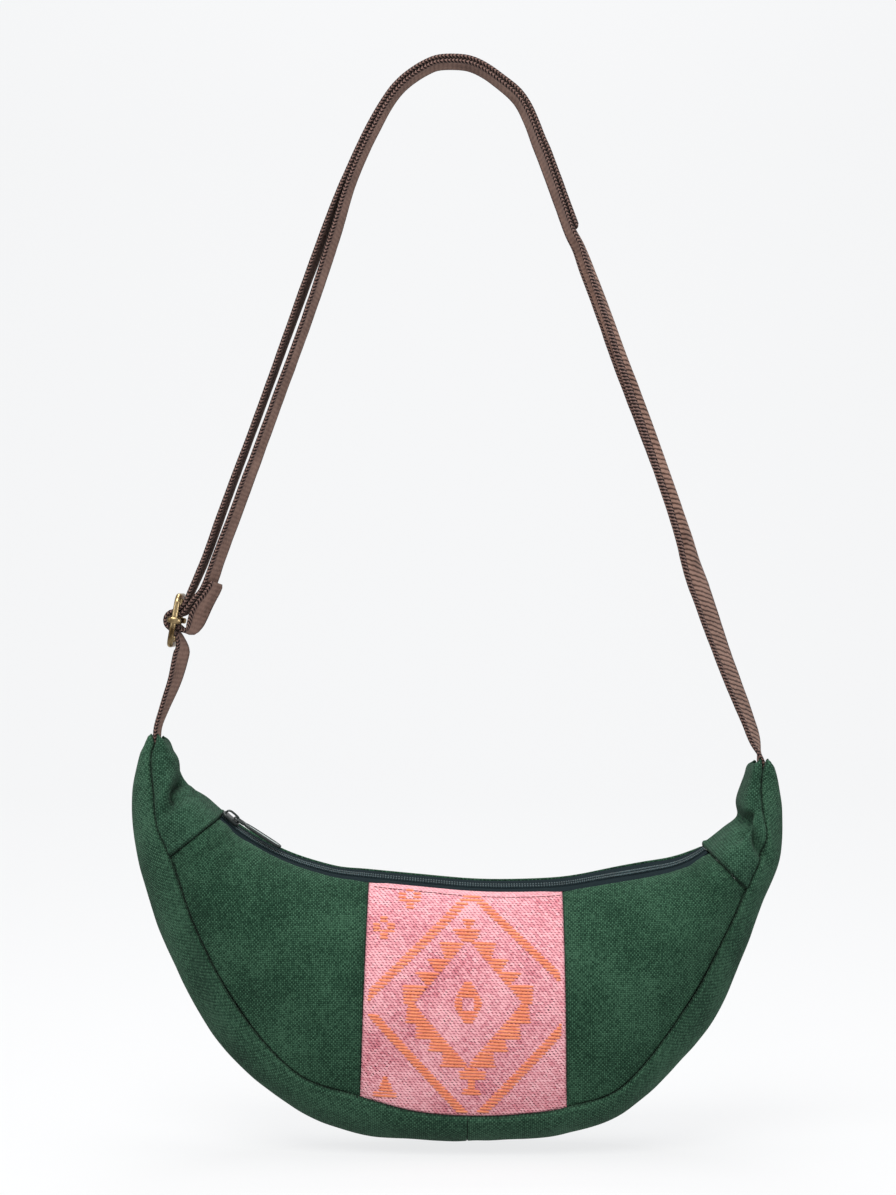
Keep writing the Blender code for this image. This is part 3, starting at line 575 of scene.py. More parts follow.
# Creases drawn on the front as the camera sees them: where, how they lean (0 is level,
# 90 upright), how long and wide they are, and how deep (or proud, where negative).
CREASE_COLUMNS = ("x", "z", "lean", "half_length", "half_width", "depth")
CREASES = (
    (-152.6, -403.4, 62.0, 10.5, 2.6, 6.8),
    (-157.6, -401.0, 68.0, 10.0, 2.8, -1.6),
    (-148.6, -406.0, 58.0, 7.0, 2.4, 2.0),
    (-148.6, -396.2, 42.0, 3.4, 1.4, 2.2),
    (-152.6, -385.5, -68.0, 6.5, 3.0, -2.6),
    (-144.6, -399.4, 40.0, 5.0, 2.0, -1.3),
    (-140.9, -402.0, 50.0, 3.2, 1.2, 1.8),
    (-160.5, -420.0, 80.0, 13.0, 3.4, -0.8),
    (-131.5, -433.0, 37.0, 14.0, 3.4, 1.5),
    (-122.0, -438.0, 62.0, 13.0, 5.0, 1.2),
    (161.3, -415.6, 38.0, 5.2, 1.6, 4.0),
    (158.4, -423.2, 57.0, 5.4, 2.0, 4.6),
    (161.8, -423.4, 64.0, 6.0, 1.3, -2.2),
    (166.6, -429.0, -66.0, 10.0, 2.7, 5.6),
    (172.0, -424.0, -66.0, 9.0, 2.4, -1.0),
    (147.0, -441.0, -52.0, 10.0, 3.4, 1.8),
    (137.0, -455.0, -62.0, 15.0, 4.4, 1.4),
    (-141.0, -497.0, -72.0, 26.0, 5.5, 1.3),
    (146.0, -493.0, 66.0, 24.0, 5.5, 1.1),
)


def crease_depth(points):
    """How deep the drawn creases press the front cloth at these points."""
    total = np.zeros(points.shape[:2])
    front = np.clip((5.0 - points[..., 1]) / 8.0, 0.0, 1.0)
    for row in CREASES:
        crease = dict(zip(CREASE_COLUMNS, row))
        lean = math.radians(crease["lean"])
        dx = points[..., 0] - crease["x"]
        dz = points[..., 2] - crease["z"]
        a = (dx * math.cos(lean) + dz * math.sin(lean)) / crease["half_length"]
        b = (-dx * math.sin(lean) + dz * math.cos(lean)) / crease["half_width"]
        total += crease["depth"] * np.exp(-a * a - b * b) * front
    return total


# %% [markdown]
# ## Laying cloth on the skin
# A flat grid is doubled into a thin slab, and the slab is laid on the skin: one face goes
# outside, the other two millimetres further in. Its rows stand close together at the
# edges, where the cloth rolls into a seam or a hem. A seam's edge dips, so that two
# pieces meet in a valley, and a hem's edge is round like folded cloth.

# %% Slabs and edges
EDGE_STEPS = np.array([0.0, 0.1, 0.3, 0.6, 1.0, 1.5, 2.1, 2.9])
SEAM_ROUND = 1.35
TIP_FOLD = 1.3
VALLEY = 1.0
LIP_FADE = 7.0
BACK_LIP_LOWER = 2.6


def places_across(length, count):
    """Places across a piece, close together at its two edges."""
    inner = np.linspace(EDGE_STEPS[-1], length - EDGE_STEPS[-1], count)
    return np.concatenate([EDGE_STEPS[:-1], inner, length - EDGE_STEPS[:-1][::-1]])


def slab(columns, rows):
    """A flat closed slab, 1 by 1 by 1, cut into columns and rows."""
    bm = bmesh.new()
    bmesh.ops.create_grid(bm, x_segments=columns, y_segments=rows, size=0.5)
    bmesh.ops.translate(bm, verts=bm.verts, vec=(0.5, 0.5, 0.0))
    made = bmesh.ops.extrude_face_region(bm, geom=list(bm.faces), use_keep_orig=True)
    raised = [v for v in made["geom"] if isinstance(v, bmesh.types.BMVert)]
    bmesh.ops.translate(bm, verts=raised, vec=(0.0, 0.0, 1.0))
    bmesh.ops.recalc_face_normals(bm, faces=bm.faces)
    return bm


def to_object(bm, name, mat, slot, body="bag", replaces=(), smooth=40.0):
    """Finish a mesh modelled in millimetres: scale it, shade it and let it ride."""
    if bm.calc_volume(signed=True) < 0:
        bmesh.ops.reverse_faces(bm, faces=bm.faces)
    bmesh.ops.scale(bm, verts=bm.verts, vec=(MM, MM, MM))
    mesh = bpy.data.meshes.new(name)
    bm.to_mesh(mesh)
    bm.free()
    mesh.shade_smooth()
    mesh.set_sharp_from_angle(angle=math.radians(smooth))
    mesh.materials.append(mat)
    item = bpy.data.objects.new(name, mesh)
    bpy.context.scene.collection.objects.link(item)
    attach(item, body)
    if replaces:
        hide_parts(*replaces)
    return item


def lay_slab(outer, inner, flat, edge_and_painted_shade, name, mat, slot, below=None, rubbed=None, **finish):
    """Lay a slab between two grids of points, with its flat pattern, its edge numbers and its
    painted shade.
    """
    n, m = outer.shape[:2]
    bm = slab(n - 1, m - 1)
    place = bm.verts.layers.int.new("place")
    face = bm.verts.layers.float.new("outer")
    for vert in bm.verts:
        i = round(vert.co.x * (n - 1))
        j = round(vert.co.y * (m - 1))
        front = vert.co.z < 0.5
        half = np.linalg.norm(outer[i, j] - inner[i, j]) / 2
        vert.co = outer[i, j] if front else inner[i, j]
        vert[place] = i * m + j
        vert[face] = half if front else -half
    bmesh.ops.remove_doubles(bm, verts=bm.verts, dist=0.01)
    item = to_object(bm, name, mat, slot, **finish)
    mesh = item.data
    index = np.zeros(len(mesh.vertices), np.int32)
    mesh.attributes["place"].data.foreach_get("value", index)
    mesh.attributes.remove(mesh.attributes["place"])
    corner = np.zeros(len(mesh.loops), np.int32)
    mesh.loops.foreach_get("vertex_index", corner)
    uv = mesh.uv_layers.new(name="flat")
    uv.data.foreach_set("uv", (flat.reshape(-1, 2)[index[corner]] * MM).ravel())
    for word, values in (("edge_and_painted_shade", edge_and_painted_shade), ("below", below), ("rubbed", rubbed)):
        if values is not None:
            mark = mesh.attributes.new(word, "FLOAT", "POINT")
            mark.data.foreach_set("value", values.reshape(-1)[index].astype(np.float32))
    return item


def dip(distance, radius):
    """How far a rounded edge lies below the cloth."""
    d = np.clip(distance, 0.0, radius)
    return radius - np.sqrt(np.maximum(radius ** 2 - (radius - d) ** 2, 0.0))


# %% [markdown]
# Each cloth piece names what its four edges are. The two ends lie across the crescent,
# and the two sides run along it. At a horn's tip the cloth is a folded lip that hugs the
# strap: it stands highest beside it, and lower behind it than in front.

# %% Where each piece runs
def lip_trim(s):
    """How far an edge stays back from the seam near a tip, to let the strap in."""
    near = min(abs(s - bag.knots[0]), abs(s - bag.knots[-1]))
    return 1.1 * max(1.0 - near / LIP_OPENING, 0.0)


def lip_lift(beside):
    """How far a tip's lip stands up, beside millimetres from where the strap goes in."""
    return 2.7 * np.exp(-((beside - 0.8) / 6.5) ** 2) - 0.5 * np.exp(-(beside / 0.6) ** 2) - 0.7


SPANS = {
    "front": (-1, lambda s: (bag.half(s, -1)[3]["edge"],
                             bag.half(s, -1)[3]["seam"] - SEAM_GAP / 2)),
    "back": (1, lambda s: (bag.half(s, 1)[3]["edge"],
                           bag.half(s, 1)[3]["seam"] - SEAM_GAP / 2)),
    "cap": (-1, lambda s: (bag.half(s, -1)[3]["seam"] - SEAM_GAP / 2 - lip_trim(s),
                           -(bag.half(s, 1)[3]["seam"] - SEAM_GAP / 2 - lip_trim(s)))),
    "gusset": (-1, lambda s: (bag.half(s, -1)[3]["seam"] + SEAM_GAP / 2 + lip_trim(s),
                              bag.half(s, -1)[3]["base"] + bag.half(s, 1)[3]["base"]
                              - bag.half(s, 1)[3]["seam"] - SEAM_GAP / 2 - lip_trim(s))),
}


def fold_depth(s, side, t):
    """How far the broad folds press the cloth in."""
    marks = bag.half(s, side)[3]
    down = (np.abs(t) - marks["edge"]) / (marks["seam"] - marks["edge"])
    total = np.zeros_like(t)
    for row in FOLDS:
        fold = dict(zip(FOLD_COLUMNS, row))
        a = (s - bag.at[fold["near"]] - fold["along"]) / fold["spread_along"]
        b = (down - fold["down"]) / fold["spread_down"]
        total += fold["depth"] * np.exp(-a * a - b * b)
    return total


def piece_grid(span, along, count):
    """Points on the skin, their outward ways, the flat pattern and the folds' depth."""
    side, ends_of = SPANS[span]
    points, normals, flat, sinks = [], [], [], []
    for s in along:
        s = float(s)
        t0, t1 = ends_of(s)
        reach = places_across(abs(t1 - t0), count)
        f = reach / abs(t1 - t0)
        t = t0 + (t1 - t0) * f
        here = bag.points(s, side, t)
        lo = max(s - 0.7, 0.0)
        hi = min(s + 0.7, bag.knots[-1])
        lo0, lo1 = ends_of(lo)
        hi0, hi1 = ends_of(hi)
        ahead = bag.points(hi, side, hi0 + (hi1 - hi0) * f) \
            - bag.points(lo, side, lo0 + (lo1 - lo0) * f)
        down = bag.points(s, side, t + 0.7) - bag.points(s, side, t - 0.7)
        out = np.cross(ahead, down) * side
        out /= np.linalg.norm(out, axis=1)[:, None]
        row = bag.row(s)
        way = np.array([row["base_x"] - row["top_x"], row["base_z"] - row["top_z"]])
        way /= np.hypot(*way)
        if span == "gusset":
            flat.append(np.stack([np.full_like(t, s), reach - abs(t1 - t0) / 2], 1))
        else:
            flat.append(np.stack([row["top_x"] + way[0] * t, row["top_z"] + way[1] * t], 1))
        points.append(here)
        normals.append(out)
        sinks.append(fold_depth(s, side, t) if span != "gusset" else np.zeros_like(t))
    points = np.array(points)
    normals = np.array(normals)
    flat = np.array(flat)
    if span == "gusset":
        centre = points[:, points.shape[1] // 2]
        flat[..., 0] = running_lengths(centre)[:, None]
    return points, normals, flat, np.array(sinks)


# %% [markdown]
# The edges are then shaped. A seam dips into a valley, a welt stands a little proud before
# it dips, because the seam allowance lies folded under it, a hem is rolled, and a butt
# joins two halves almost level. A number grows towards each edge and in the pressed
# creases: it is painted shade, by which the canvas is darkened.

# %% Shape and lay one piece
def cloth(name, span, first, last, spacing, edges, mat, slot, replaces):
    """Lay one piece of cloth. edges says what its two ends and its two sides are."""
    ends_of = SPANS[span][1]
    start = bag.at[first] + SEAM_GAP / 2
    stop = bag.at[last] - SEAM_GAP / 2
    along = start + places_across(stop - start, max(int((stop - start) / spacing), 4))
    middle = 0.5 * (start + stop)
    wide = abs(ends_of(middle)[1] - ends_of(middle)[0])
    count = max(int(wide / spacing), 4)
    points, normals, flat, folds = piece_grid(span, along, count)
    lengths = np.array([abs(ends_of(float(s))[1] - ends_of(float(s))[0]) for s in along])
    from_side = np.array([places_across(l, count) for l in lengths])
    from_end = (along - along[0])[:, None] + np.zeros_like(from_side)
    distance = (from_end, from_end.max() - from_end, from_side,
                lengths[:, None] - from_side)
    ripples = 0.45 * ripple(flat[..., 0] / 26.0, flat[..., 1] / 26.0) \
        + 0.22 * ripple(flat[..., 0] / 11.0 + 9.0, flat[..., 1] / 11.0)
    pressed = crease_depth(points)
    sink = folds + pressed
    # Painted shade for the canvas, growing towards each edge below.
    edge_and_painted_shade = np.zeros_like(sink)
    keep = np.ones_like(sink)
    inner = np.full_like(sink, CLOTH)
    running = (from_side, from_side, from_end, from_end)
    for kind, d, along_edge in zip(edges, distance, running):
        keep *= np.clip(d / 6.0, 0.0, 1.0)
        if kind == "tip":
            beside = np.minimum(from_side, lengths[:, None] - from_side)
            lift = lip_lift(beside) - BACK_LIP_LOWER * np.clip(points[..., 1] / 4.0, 0, 1)
            points[..., 2] += lift * np.clip(1 - d / LIP_FADE, 0, 1) ** 2
            inner = inner + TIP_FOLD * np.clip(1 - d / 7.0, 0, 1)
            half = inner / 2
            roll = dip(np.minimum(d, half), half)
            sink = sink + roll + 0.8 * dip(d, 3.2)
            inner = inner - roll
            continue
        if kind == "hem":
            roll = dip(d, CLOTH / 2)
            sink = sink + roll
            inner = inner - roll
            edge_and_painted_shade = np.maximum(edge_and_painted_shade, 0.25 * np.exp(-d / 0.5))
            continue
        if kind == "butt":
            sink = sink + dip(d, 0.8)
            edge_and_painted_shade = np.maximum(edge_and_painted_shade, 0.4 * np.exp(-d / 0.5))
            continue
        close = 0.30 * pucker(along_edge / 3.1, 0.0) * np.exp(-((d - 2.4) / 1.7) ** 2)
        sink = sink + dip(d, SEAM_ROUND) + close
        if span in ("front", "back"):
            sink = sink + VALLEY * np.exp(-(d / 7.0) ** 2)
        edge_and_painted_shade = np.maximum(edge_and_painted_shade, np.exp(-d / 0.65))
        if kind == "welt":
            sink = sink - 0.75 * np.exp(-((d - 2.2) / 1.4) ** 2)
    sink = sink + ripples * keep
    # The pressed creases take painted shade as well.
    edge_and_painted_shade = np.maximum(edge_and_painted_shade, 0.6 * np.clip(pressed / 5.0, 0.0, 1.0))
    base = folds + pressed
    thick = np.where(inner < CLOTH - 1e-6, inner, np.maximum(inner, CLOTH))
    deep = points - normals * (thick + base)[..., None]
    outer = points - normals * np.minimum(sink, thick + base - 0.02)[..., None]
    below = points[:, :1, 2] - points[..., 2]
    item = lay_slab(outer, deep, flat, edge_and_painted_shade, name, mat, slot, below=below,
                    replaces=replaces)
    print(name, len(item.data.polygons), "faces")
    return item, outer, normals


# %% [markdown]
# ## The green panels, caps and gusset
# The front has a green piece on each side of the woven one, the back is one piece, a cap
# closes each horn, and the gusset is a band that runs from tip to tip under the bag, with
# a seam at its middle.

# %% Sew the green pieces
cloth("panel_front_left", "front", "left_cap", "pink_left", 1.9,
      ("seam", "seam", "hem", "seam"), green_panel, "green_cloth", ["front_panel_left"])
cloth("panel_front_right", "front", "pink_right", "right_cap", 1.9,
      ("seam", "seam", "hem", "seam"), green_panel, "green_cloth", ["front_panel_right"])
cloth("panel_back", "back", "left_cap", "right_cap", 2.3,
      ("seam", "seam", "hem", "seam"), green_panel, "green_cloth", ["back_panel"])
cloth("cap_left", "cap", "left_tip", "left_cap", 1.4,
      ("tip", "welt", "seam", "seam"), green_cap, "green_horn", ["horn_left"])
cloth("cap_right", "cap", "right_cap", "right_tip", 1.4,
      ("welt", "tip", "seam", "seam"), green_cap, "green_horn", ["horn_right"])
cloth("band_left", "gusset", "left_tip", "middle", 2.1,
      ("tip", "butt", "welt", "welt"), green_band, "green_gusset", ["gusset_left"])
cloth("band_right", "gusset", "middle", "right_tip", 2.1,
      ("butt", "tip", "welt", "welt"), green_band, "green_gusset", ["gusset_right"])

# %% [markdown]
# ## Pink hand weave
# The woven piece has a ground of short oval floats set like bricks, light pink on top and
# rose where they dive, with a dark pinhole left open here and there. The ground is worked
# out in the material. The orange figure stands proud of it, so it is real thread.

# %% The pink ground
HEM_DEPTH = 2.6


def make_grains():
    """Oval grains in bricks: height, speck and pinhole."""
    group, takes, gives = node_group(
        "oval_grains",
        [("Vector", "NodeSocketVector", None), ("Row", "NodeSocketFloat", 0.00142),
         ("Length", "NodeSocketFloat", 0.0021)],
        [("Height", "NodeSocketFloat"), ("Speck", "NodeSocketFloat"),
         ("Hole", "NodeSocketFloat")])
    split = wire(group, "ShaderNodeSeparateXYZ", Vector=takes["Vector"]).node
    waver = wire(group, "ShaderNodeTexNoise", 0, Vector=takes["Vector"], Scale=330.0,
                 Detail=2.0)
    bend = maths(group, "MULTIPLY", maths(group, "SUBTRACT", waver, 0.5), 0.8)
    v = maths(group, "ADD", maths(group, "DIVIDE", split.outputs["Y"], takes["Row"]), bend)
    line = maths(group, "FLOOR", v)
    half = maths(group, "MULTIPLY", line, 0.5)
    u = maths(group, "ADD", maths(group, "DIVIDE", split.outputs["X"], takes["Length"]), half)
    u = maths(group, "ADD", u, maths(group, "MULTIPLY", bend, 0.7))
    fv = maths(group, "SUBTRACT", maths(group, "FRACT", v), 0.5)
    fu = maths(group, "SUBTRACT", maths(group, "FRACT", u), 0.5)
    lean = maths(group, "ADD", fu, maths(group, "MULTIPLY", fv, 0.35))
    from_end = maths(group, "SUBTRACT", 0.5, maths(group, "ABSOLUTE", lean))
    from_side = maths(group, "SUBTRACT", 0.5, maths(group, "ABSOLUTE", fv))
    cu = maths(group, "DIVIDE", from_end, 0.30)
    cv = maths(group, "DIVIDE", from_side, 0.36)
    far = maths(group, "ADD", maths(group, "MULTIPLY", cu, cu), maths(group, "MULTIPLY", cv, cv))
    height = maths(group, "MINIMUM", maths(group, "MULTIPLY", far, 0.9), 1.0)
    cell = wire(group, "ShaderNodeCombineXYZ", X=maths(group, "FLOOR", u), Y=line, Z=0.0)
    speck = wire(group, "ShaderNodeTexWhiteNoise", 0, Vector=cell)
    shut = wire(group, "ShaderNodeTexNoise", 0, Vector=takes["Vector"], Scale=60.0, Detail=1.0)
    rare = maths(group, "GREATER_THAN", maths(group, "ADD", speck,
                 maths(group, "MULTIPLY", shut, 0.8)), 1.27)
    corner = maths(group, "LESS_THAN", height, 0.45)
    hole = maths(group, "MULTIPLY", rare, corner)
    group.links.new(height, gives["Height"])
    group.links.new(speck, gives["Speck"])
    group.links.new(hole, gives["Hole"])
    return group


oval_grains = make_grains()


def pink_cloth():
    """Pink grains on rose, with dark pinholes, a painted highlight along the hem and painted shade
    at the seams.
    """
    mat, tree, shader = new_material("pink_ground", 0.9, Specular_IOR_Level=0.15,
                                     Sheen_Weight=0.15, Sheen_Roughness=0.5)
    flat = wire(tree, "ShaderNodeUVMap", 0, {"uv_map": "flat"})
    grain = use_group(tree, oval_grains, Vector=flat)
    tone = use_group(tree, cloth_tone, Vector=flat, Scale=28.0)["Tone"]
    amount = maths(tree, "ADD", maths(tree, "MULTIPLY", grain["Height"], 0.66),
                   maths(tree, "MULTIPLY", grain["Speck"], 0.36))
    amount = maths(tree, "MULTIPLY_ADD", maths(tree, "SUBTRACT", tone, 0.5), 1.3, amount)
    pink = ramp_colours(tree, amount, (0.05, (0.150, 0.020, 0.042)),
                        (1.0, (0.90, 0.455, 0.50)), (0.55, (0.65, 0.210, 0.255)))
    holed = blend_colours(tree, grain["Hole"], pink, (0.035, 0.012, 0.012, 1.0))
    # Painted highlight: a paler strip along the rolled hem, from its top edge down to the
    # stitching.
    hem = maths(tree, "LESS_THAN", point_value(tree, "below"), HEM_DEPTH)
    holed = blend_colours(tree, maths(tree, "MULTIPLY", hem, 0.45), holed,
                          (0.80, 0.38, 0.42, 1.0))
    # Painted shade: the pink is darkened near its seams.
    shade = maths(tree, "MULTIPLY_ADD", point_value(tree, "edge_and_painted_shade"), -0.45, 1.0)
    paint(tree, shader, darken(tree, holed, shade), grain["Height"], 0.8, 0.00045)
    return mat


pink_ground = pink_cloth()
centre_panel, _, _ = cloth("panel_front_centre", "front", "pink_left", "pink_right", 1.6,
                           ("seam", "seam", "hem", "seam"), pink_ground, "pink_weave",
                           ["front_panel_centre"])

# %% [markdown]
# ## A helper for threads
# A float is a short length of thread lying on the cloth. A small sphere of a few dozen
# faces is stretched into a capsule, flattened, and laid where a ray from the front meets
# the cloth. Stitches and the zip's beads are made in the same way.

# %% Threads laid on the cloth
def capsule(bm, start, stop, wide, high, sides=6, rings=6):
    """A flattened capsule between two points, whose height stands along the third."""
    crest_shading = bm.verts.layers.float.get("crest_shading") or bm.verts.layers.float.new("crest_shading")
    start, stop = Vector(start), Vector(stop)
    way = stop - start
    out = Vector(high)
    tall = out.length
    side = way.cross(out).normalized() * wide / 2
    made = bmesh.ops.create_uvsphere(bm, u_segments=sides, v_segments=rings, radius=1.0)
    for vert in made["verts"]:
        x, y, z = vert.co
        thick = max(1.0 - z * z, 0.0) ** 0.5
        keep = thick ** -0.55 if thick > 0.01 else 0.0
        vert.co = (start + way * (0.5 + z / 2)
                   + side * (x * keep) + out * (y * keep / 2 if tall else 0.0))
        # How near the thread's top each point lies, for its painted light and shade.
        vert[crest_shading] = 1.0 - abs(x * keep)


def caster(item):
    """Where a ray from the front meets this piece: a point and its normal, in mm."""
    mesh = item.data
    tree = BVHTree.FromPolygons([v.co / MM for v in mesh.vertices],
                                [tuple(p.vertices) for p in mesh.polygons])

    def cast(x, z):
        point, normal, _, _ = tree.ray_cast(Vector((x, -200.0, z)), Vector((0, 1, 0)))
        return point, normal

    return cast


def thread_material(name, dark, light, roughness=0.85, grain=900.0):
    """Spun thread, with painted light along its top and painted shade at its sides, where it dives.
    """
    mat, tree, shader = new_material(name, roughness, Specular_IOR_Level=0.2,
                                     Sheen_Weight=0.15, Sheen_Roughness=0.5)
    place = wire(tree, "ShaderNodeTexCoord", 3)
    noise = wire(tree, "ShaderNodeTexNoise", 0, Vector=place, Scale=grain, Detail=3.0)
    tone = use_group(tree, cloth_tone, Vector=place, Scale=60.0)["Tone"]
    amount = maths(tree, "MULTIPLY_ADD", noise, 1.2, maths(tree, "MULTIPLY_ADD", tone, 1.0, -0.6))
    # Painted light and shade: lighter along each thread's top, darker at its sides.
    crest_shading = maths(tree, "MULTIPLY_ADD", point_value(tree, "crest_shading"), 1.2, 0.1)
    amount = maths(tree, "MULTIPLY", amount, crest_shading)
    mixed = blend_colours(tree, maths(tree, "MINIMUM", maths(tree, "MAXIMUM", amount, 0.0), 1.0),
                          (*dark, 1.0), (*light, 1.0))
    paint(tree, shader, mixed, noise, 0.5, 0.0002)
    return mat


# %% [markdown]
# ## The orange figure
# The figure is a stepped diamond inside a larger one, as in many band weaves. It is drawn
# by rule, in millimetres from the middle of the figure: a test says whether a place is
# orange, and each row of the weave becomes floats wherever the test holds. The steps come
# from taking the height in whole groups of rows.

# %% Where the weave is orange
FIGURE_AT = (8.2, -515.1)
FLOAT_PITCH = 1.72
FLOAT_SLANT = 0.07
LONGEST_FLOAT = 20.0

TEETH_COLUMNS = ("top", "bottom", "wide_top", "wide_bottom")
TEETH = (
    (31.9, 24.4, 15.5, 6.0),
    (23.6, 17.4, 15.5, 5.0),
    (16.6, 10.6, 16.0, 4.5),
    (9.9, -1.6, 16.3, 5.0),
    (-1.6, -10.9, 6.0, 15.5),
    (-11.0, -19.9, 9.5, 18.0),
    (-20.0, -26.6, 9.5, 17.3),
    (-26.7, -35.2, 9.0, 17.0),
)
BAND_WIDE = 7.4
BLOCK_COLUMNS = ("top", "bottom", "left_top", "right_top", "left_bottom", "right_bottom")
BLOCKS = (
    (43.7, 41.3, -3.4, 4.4, -2.6, 3.4),
    (41.3, 38.3, -1.3, 1.8, -1.3, 1.8),
    (38.3, 33.2, -9.2, 7.6, -4.4, 5.6),
    (33.2, 31.4, -4.0, 4.0, -4.6, 4.6),
    (-33.0, -37.4, -2.4, 5.7, -2.4, 5.7),
    (-37.4, -42.4, -5.8, 10.6, -5.0, 9.6),
    (-42.4, -46.4, -0.6, 4.2, -0.6, 4.2),
    (-46.4, -50.4, -2.8, 6.2, -4.4, 8.0),
    (-40.4, -44.0, -46.4, -43.8, -47.6, -42.4),
    (-44.0, -48.4, -48.0, -41.6, -49.4, -40.2),
    (-48.4, -52.8, -52.0, -38.6, -52.8, -37.6),
    (10.6, 7.8, -1.8, 1.8, -2.6, 2.6),
)
FLOWERS = ((-31.7, 55.6), (-45.8, 40.3))


def is_orange(dx, dy):
    """Whether the figure covers this place, in mm from its middle."""
    if abs(dy) < 36.0:
        within = max(28.8 * (1.0 - abs(dy) / 32.8), 0.0)
        for row in TEETH:
            tooth = dict(zip(TEETH_COLUMNS, row))
            if tooth["bottom"] < dy <= tooth["top"]:
                f = (tooth["top"] - dy) / (tooth["top"] - tooth["bottom"])
                wide = tooth["wide_top"] + f * (tooth["wide_bottom"] - tooth["wide_top"])
                if within < abs(dx) < within + wide:
                    return True
    if abs(dy) < 11.6 and abs(dx) < 7.9 * (1.0 - (abs(dy) / 13.6) ** 1.6):
        return not (abs(dx) < 2.9 and -4.0 < dy < 2.2)
    for row in BLOCKS:
        block = dict(zip(BLOCK_COLUMNS, row))
        if block["bottom"] < dy <= block["top"]:
            f = (block["top"] - dy) / (block["top"] - block["bottom"])
            left = block["left_top"] + f * (block["left_bottom"] - block["left_top"])
            right = block["right_top"] + f * (block["right_bottom"] - block["right_top"])
            if left < dx < right:
                return True
    upper = (60.6 - dy) * (1.06 if dx < 2.2 else 1.10) - abs(dx - 2.2)
    lower = (dy + 70.2) * (0.90 if dx < 2.2 else 0.93) - abs(dx - 2.2)
    if dy > 0 and 0 < upper < BAND_WIDE or dy < -5 and 0 < lower < BAND_WIDE:
        return True
    for x, y in FLOWERS:
        a, b = abs(dx - x), abs(dy - y)
        if a < 6.4 and b < 6.0 and max(a, b) > 1.6 and (a < 2.4 or b < 2.2 or a + b < 5.4):
            return True
    return False


def runs_of(dy, first, last, step=0.35):
    """The stretches of one row that are orange."""
    runs = []
    start = None
    x = first
    while x < last:
        inside = is_orange(x - FIGURE_AT[0], dy)
        if inside and start is None:
            start = x
        if not inside and start is not None:
            runs.append((start, x))
            start = None
        x += step
    if start is not None:
        runs.append((start, last))
    return runs


# %% [markdown]
# Each run of orange is laid as one float, or as two where it would be longer than twenty
# millimetres, because a longer float would snag. A float is full in its middle, dives at
# both ends and leans a little, as a thread does that is carried on to the next row.

# %% Lay the orange floats
def weave_figure():
    """Lay the orange floats row by row, and keep the rays that find the cloth."""
    cast = caster(centre_panel)
    bm = bmesh.new()
    rows = 0
    low, high = (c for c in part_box("front_panel_centre"))
    top = high.z / MM
    bottom = low.z / MM
    rng = np.random.default_rng(21)
    z = top - 3.0
    while z > bottom + 3.0:
        edges = [x for x in np.arange(low.x / MM - 2, high.x / MM + 2, 0.5)
                 if cast(x, z)[0] is not None]
        z -= FLOAT_PITCH
        if len(edges) < 8:
            continue
        for start, stop in runs_of(z - FIGURE_AT[1], edges[0] + 2.0, edges[-1] - 2.0):
            parts = max(math.ceil((stop - start) / LONGEST_FLOAT), 1)
            shift = 0.8 * (rows % 2) if parts > 1 else 0.0
            for i in range(parts):
                a = start + (stop - start) * i / parts + (shift if i else 0.0) + 0.1
                b = start + (stop - start) * (i + 1) / parts \
                    + (shift if i + 1 < parts else 0.0) - 0.1
                if b - a < 0.8:
                    continue
                slant = FLOAT_SLANT * min(b - a, 8.0) / 2
                p, n = cast(a, z + slant)
                q, m = cast(b, z - slant)
                if p is None or q is None or n.y > -0.2 or m.y > -0.2:
                    continue
                waver = rng.normal(0.0, 0.06)
                lift = Vector((0, 0, waver))
                capsule(bm, p + n * 0.05 + lift, q + m * 0.05 - lift, 1.74,
                        (n + m).normalized() * 0.75, 6, 5)
        rows += 1
    item = to_object(bm, "woven_floats", thread_material(
        "orange_thread", (0.62, 0.135, 0.065), (1.0, 0.38, 0.20)), "pink_weave", smooth=80.0)
    print("woven_floats", len(item.data.polygons), "faces")
    return cast


cast_centre = weave_figure()

# %% [markdown]
# A line of brown topstitching holds the woven piece's top hem, just under three
# millimetres below its folded edge. Its stitches almost touch, so that it reads as a line.

# %% Topstitching on the woven piece
def hem_stitches():
    """Stitch along the hem of the woven piece."""
    bm = bmesh.new()
    first = bag.at["pink_left"] + 3.0
    last = bag.at["pink_right"] - 3.0
    places = np.arange(first, last, 2.8)
    for s in places:
        ends = []
        for at in (s, s + 2.75):
            t = bag.half(float(at), -1)[3]["edge"]
            x, _, z = bag.points(float(at), -1, np.array([t]))[0]
            ends.append(cast_centre(x, z - HEM_DEPTH))
        (p, n), (q, m) = ends
        if p is None or q is None:
            continue
        capsule(bm, p, q, 0.62, (n + m).normalized() * 0.6, 6, 4)
    return to_object(bm, "hem_stitches", thread_material(
        "brown_stitching", (0.06, 0.018, 0.015), (0.15, 0.05, 0.04)), "pink_weave", smooth=80.0)


print("hem_stitches", len(hem_stitches().data.polygons), "faces")

# %% [markdown]
# ## The zip
# Two dark teal tapes lie in the opening, and between them the coil. From in front the
# coil shows as two rows of small beads. Each tape is a thin strip with a fine twill, and
# each bead is a flattened sphere.

# %% Zip tapes and teeth
TAPE_THICK = 1.0
TAPE_DROP = 0.6
TAPE_CLEAR = 0.7
ZIP_END = 1.0
COIL_WIDTH = 6.2
COIL_THICK = 2.0
COIL_PROUD = 0.3
BEAD_PITCH = 1.5


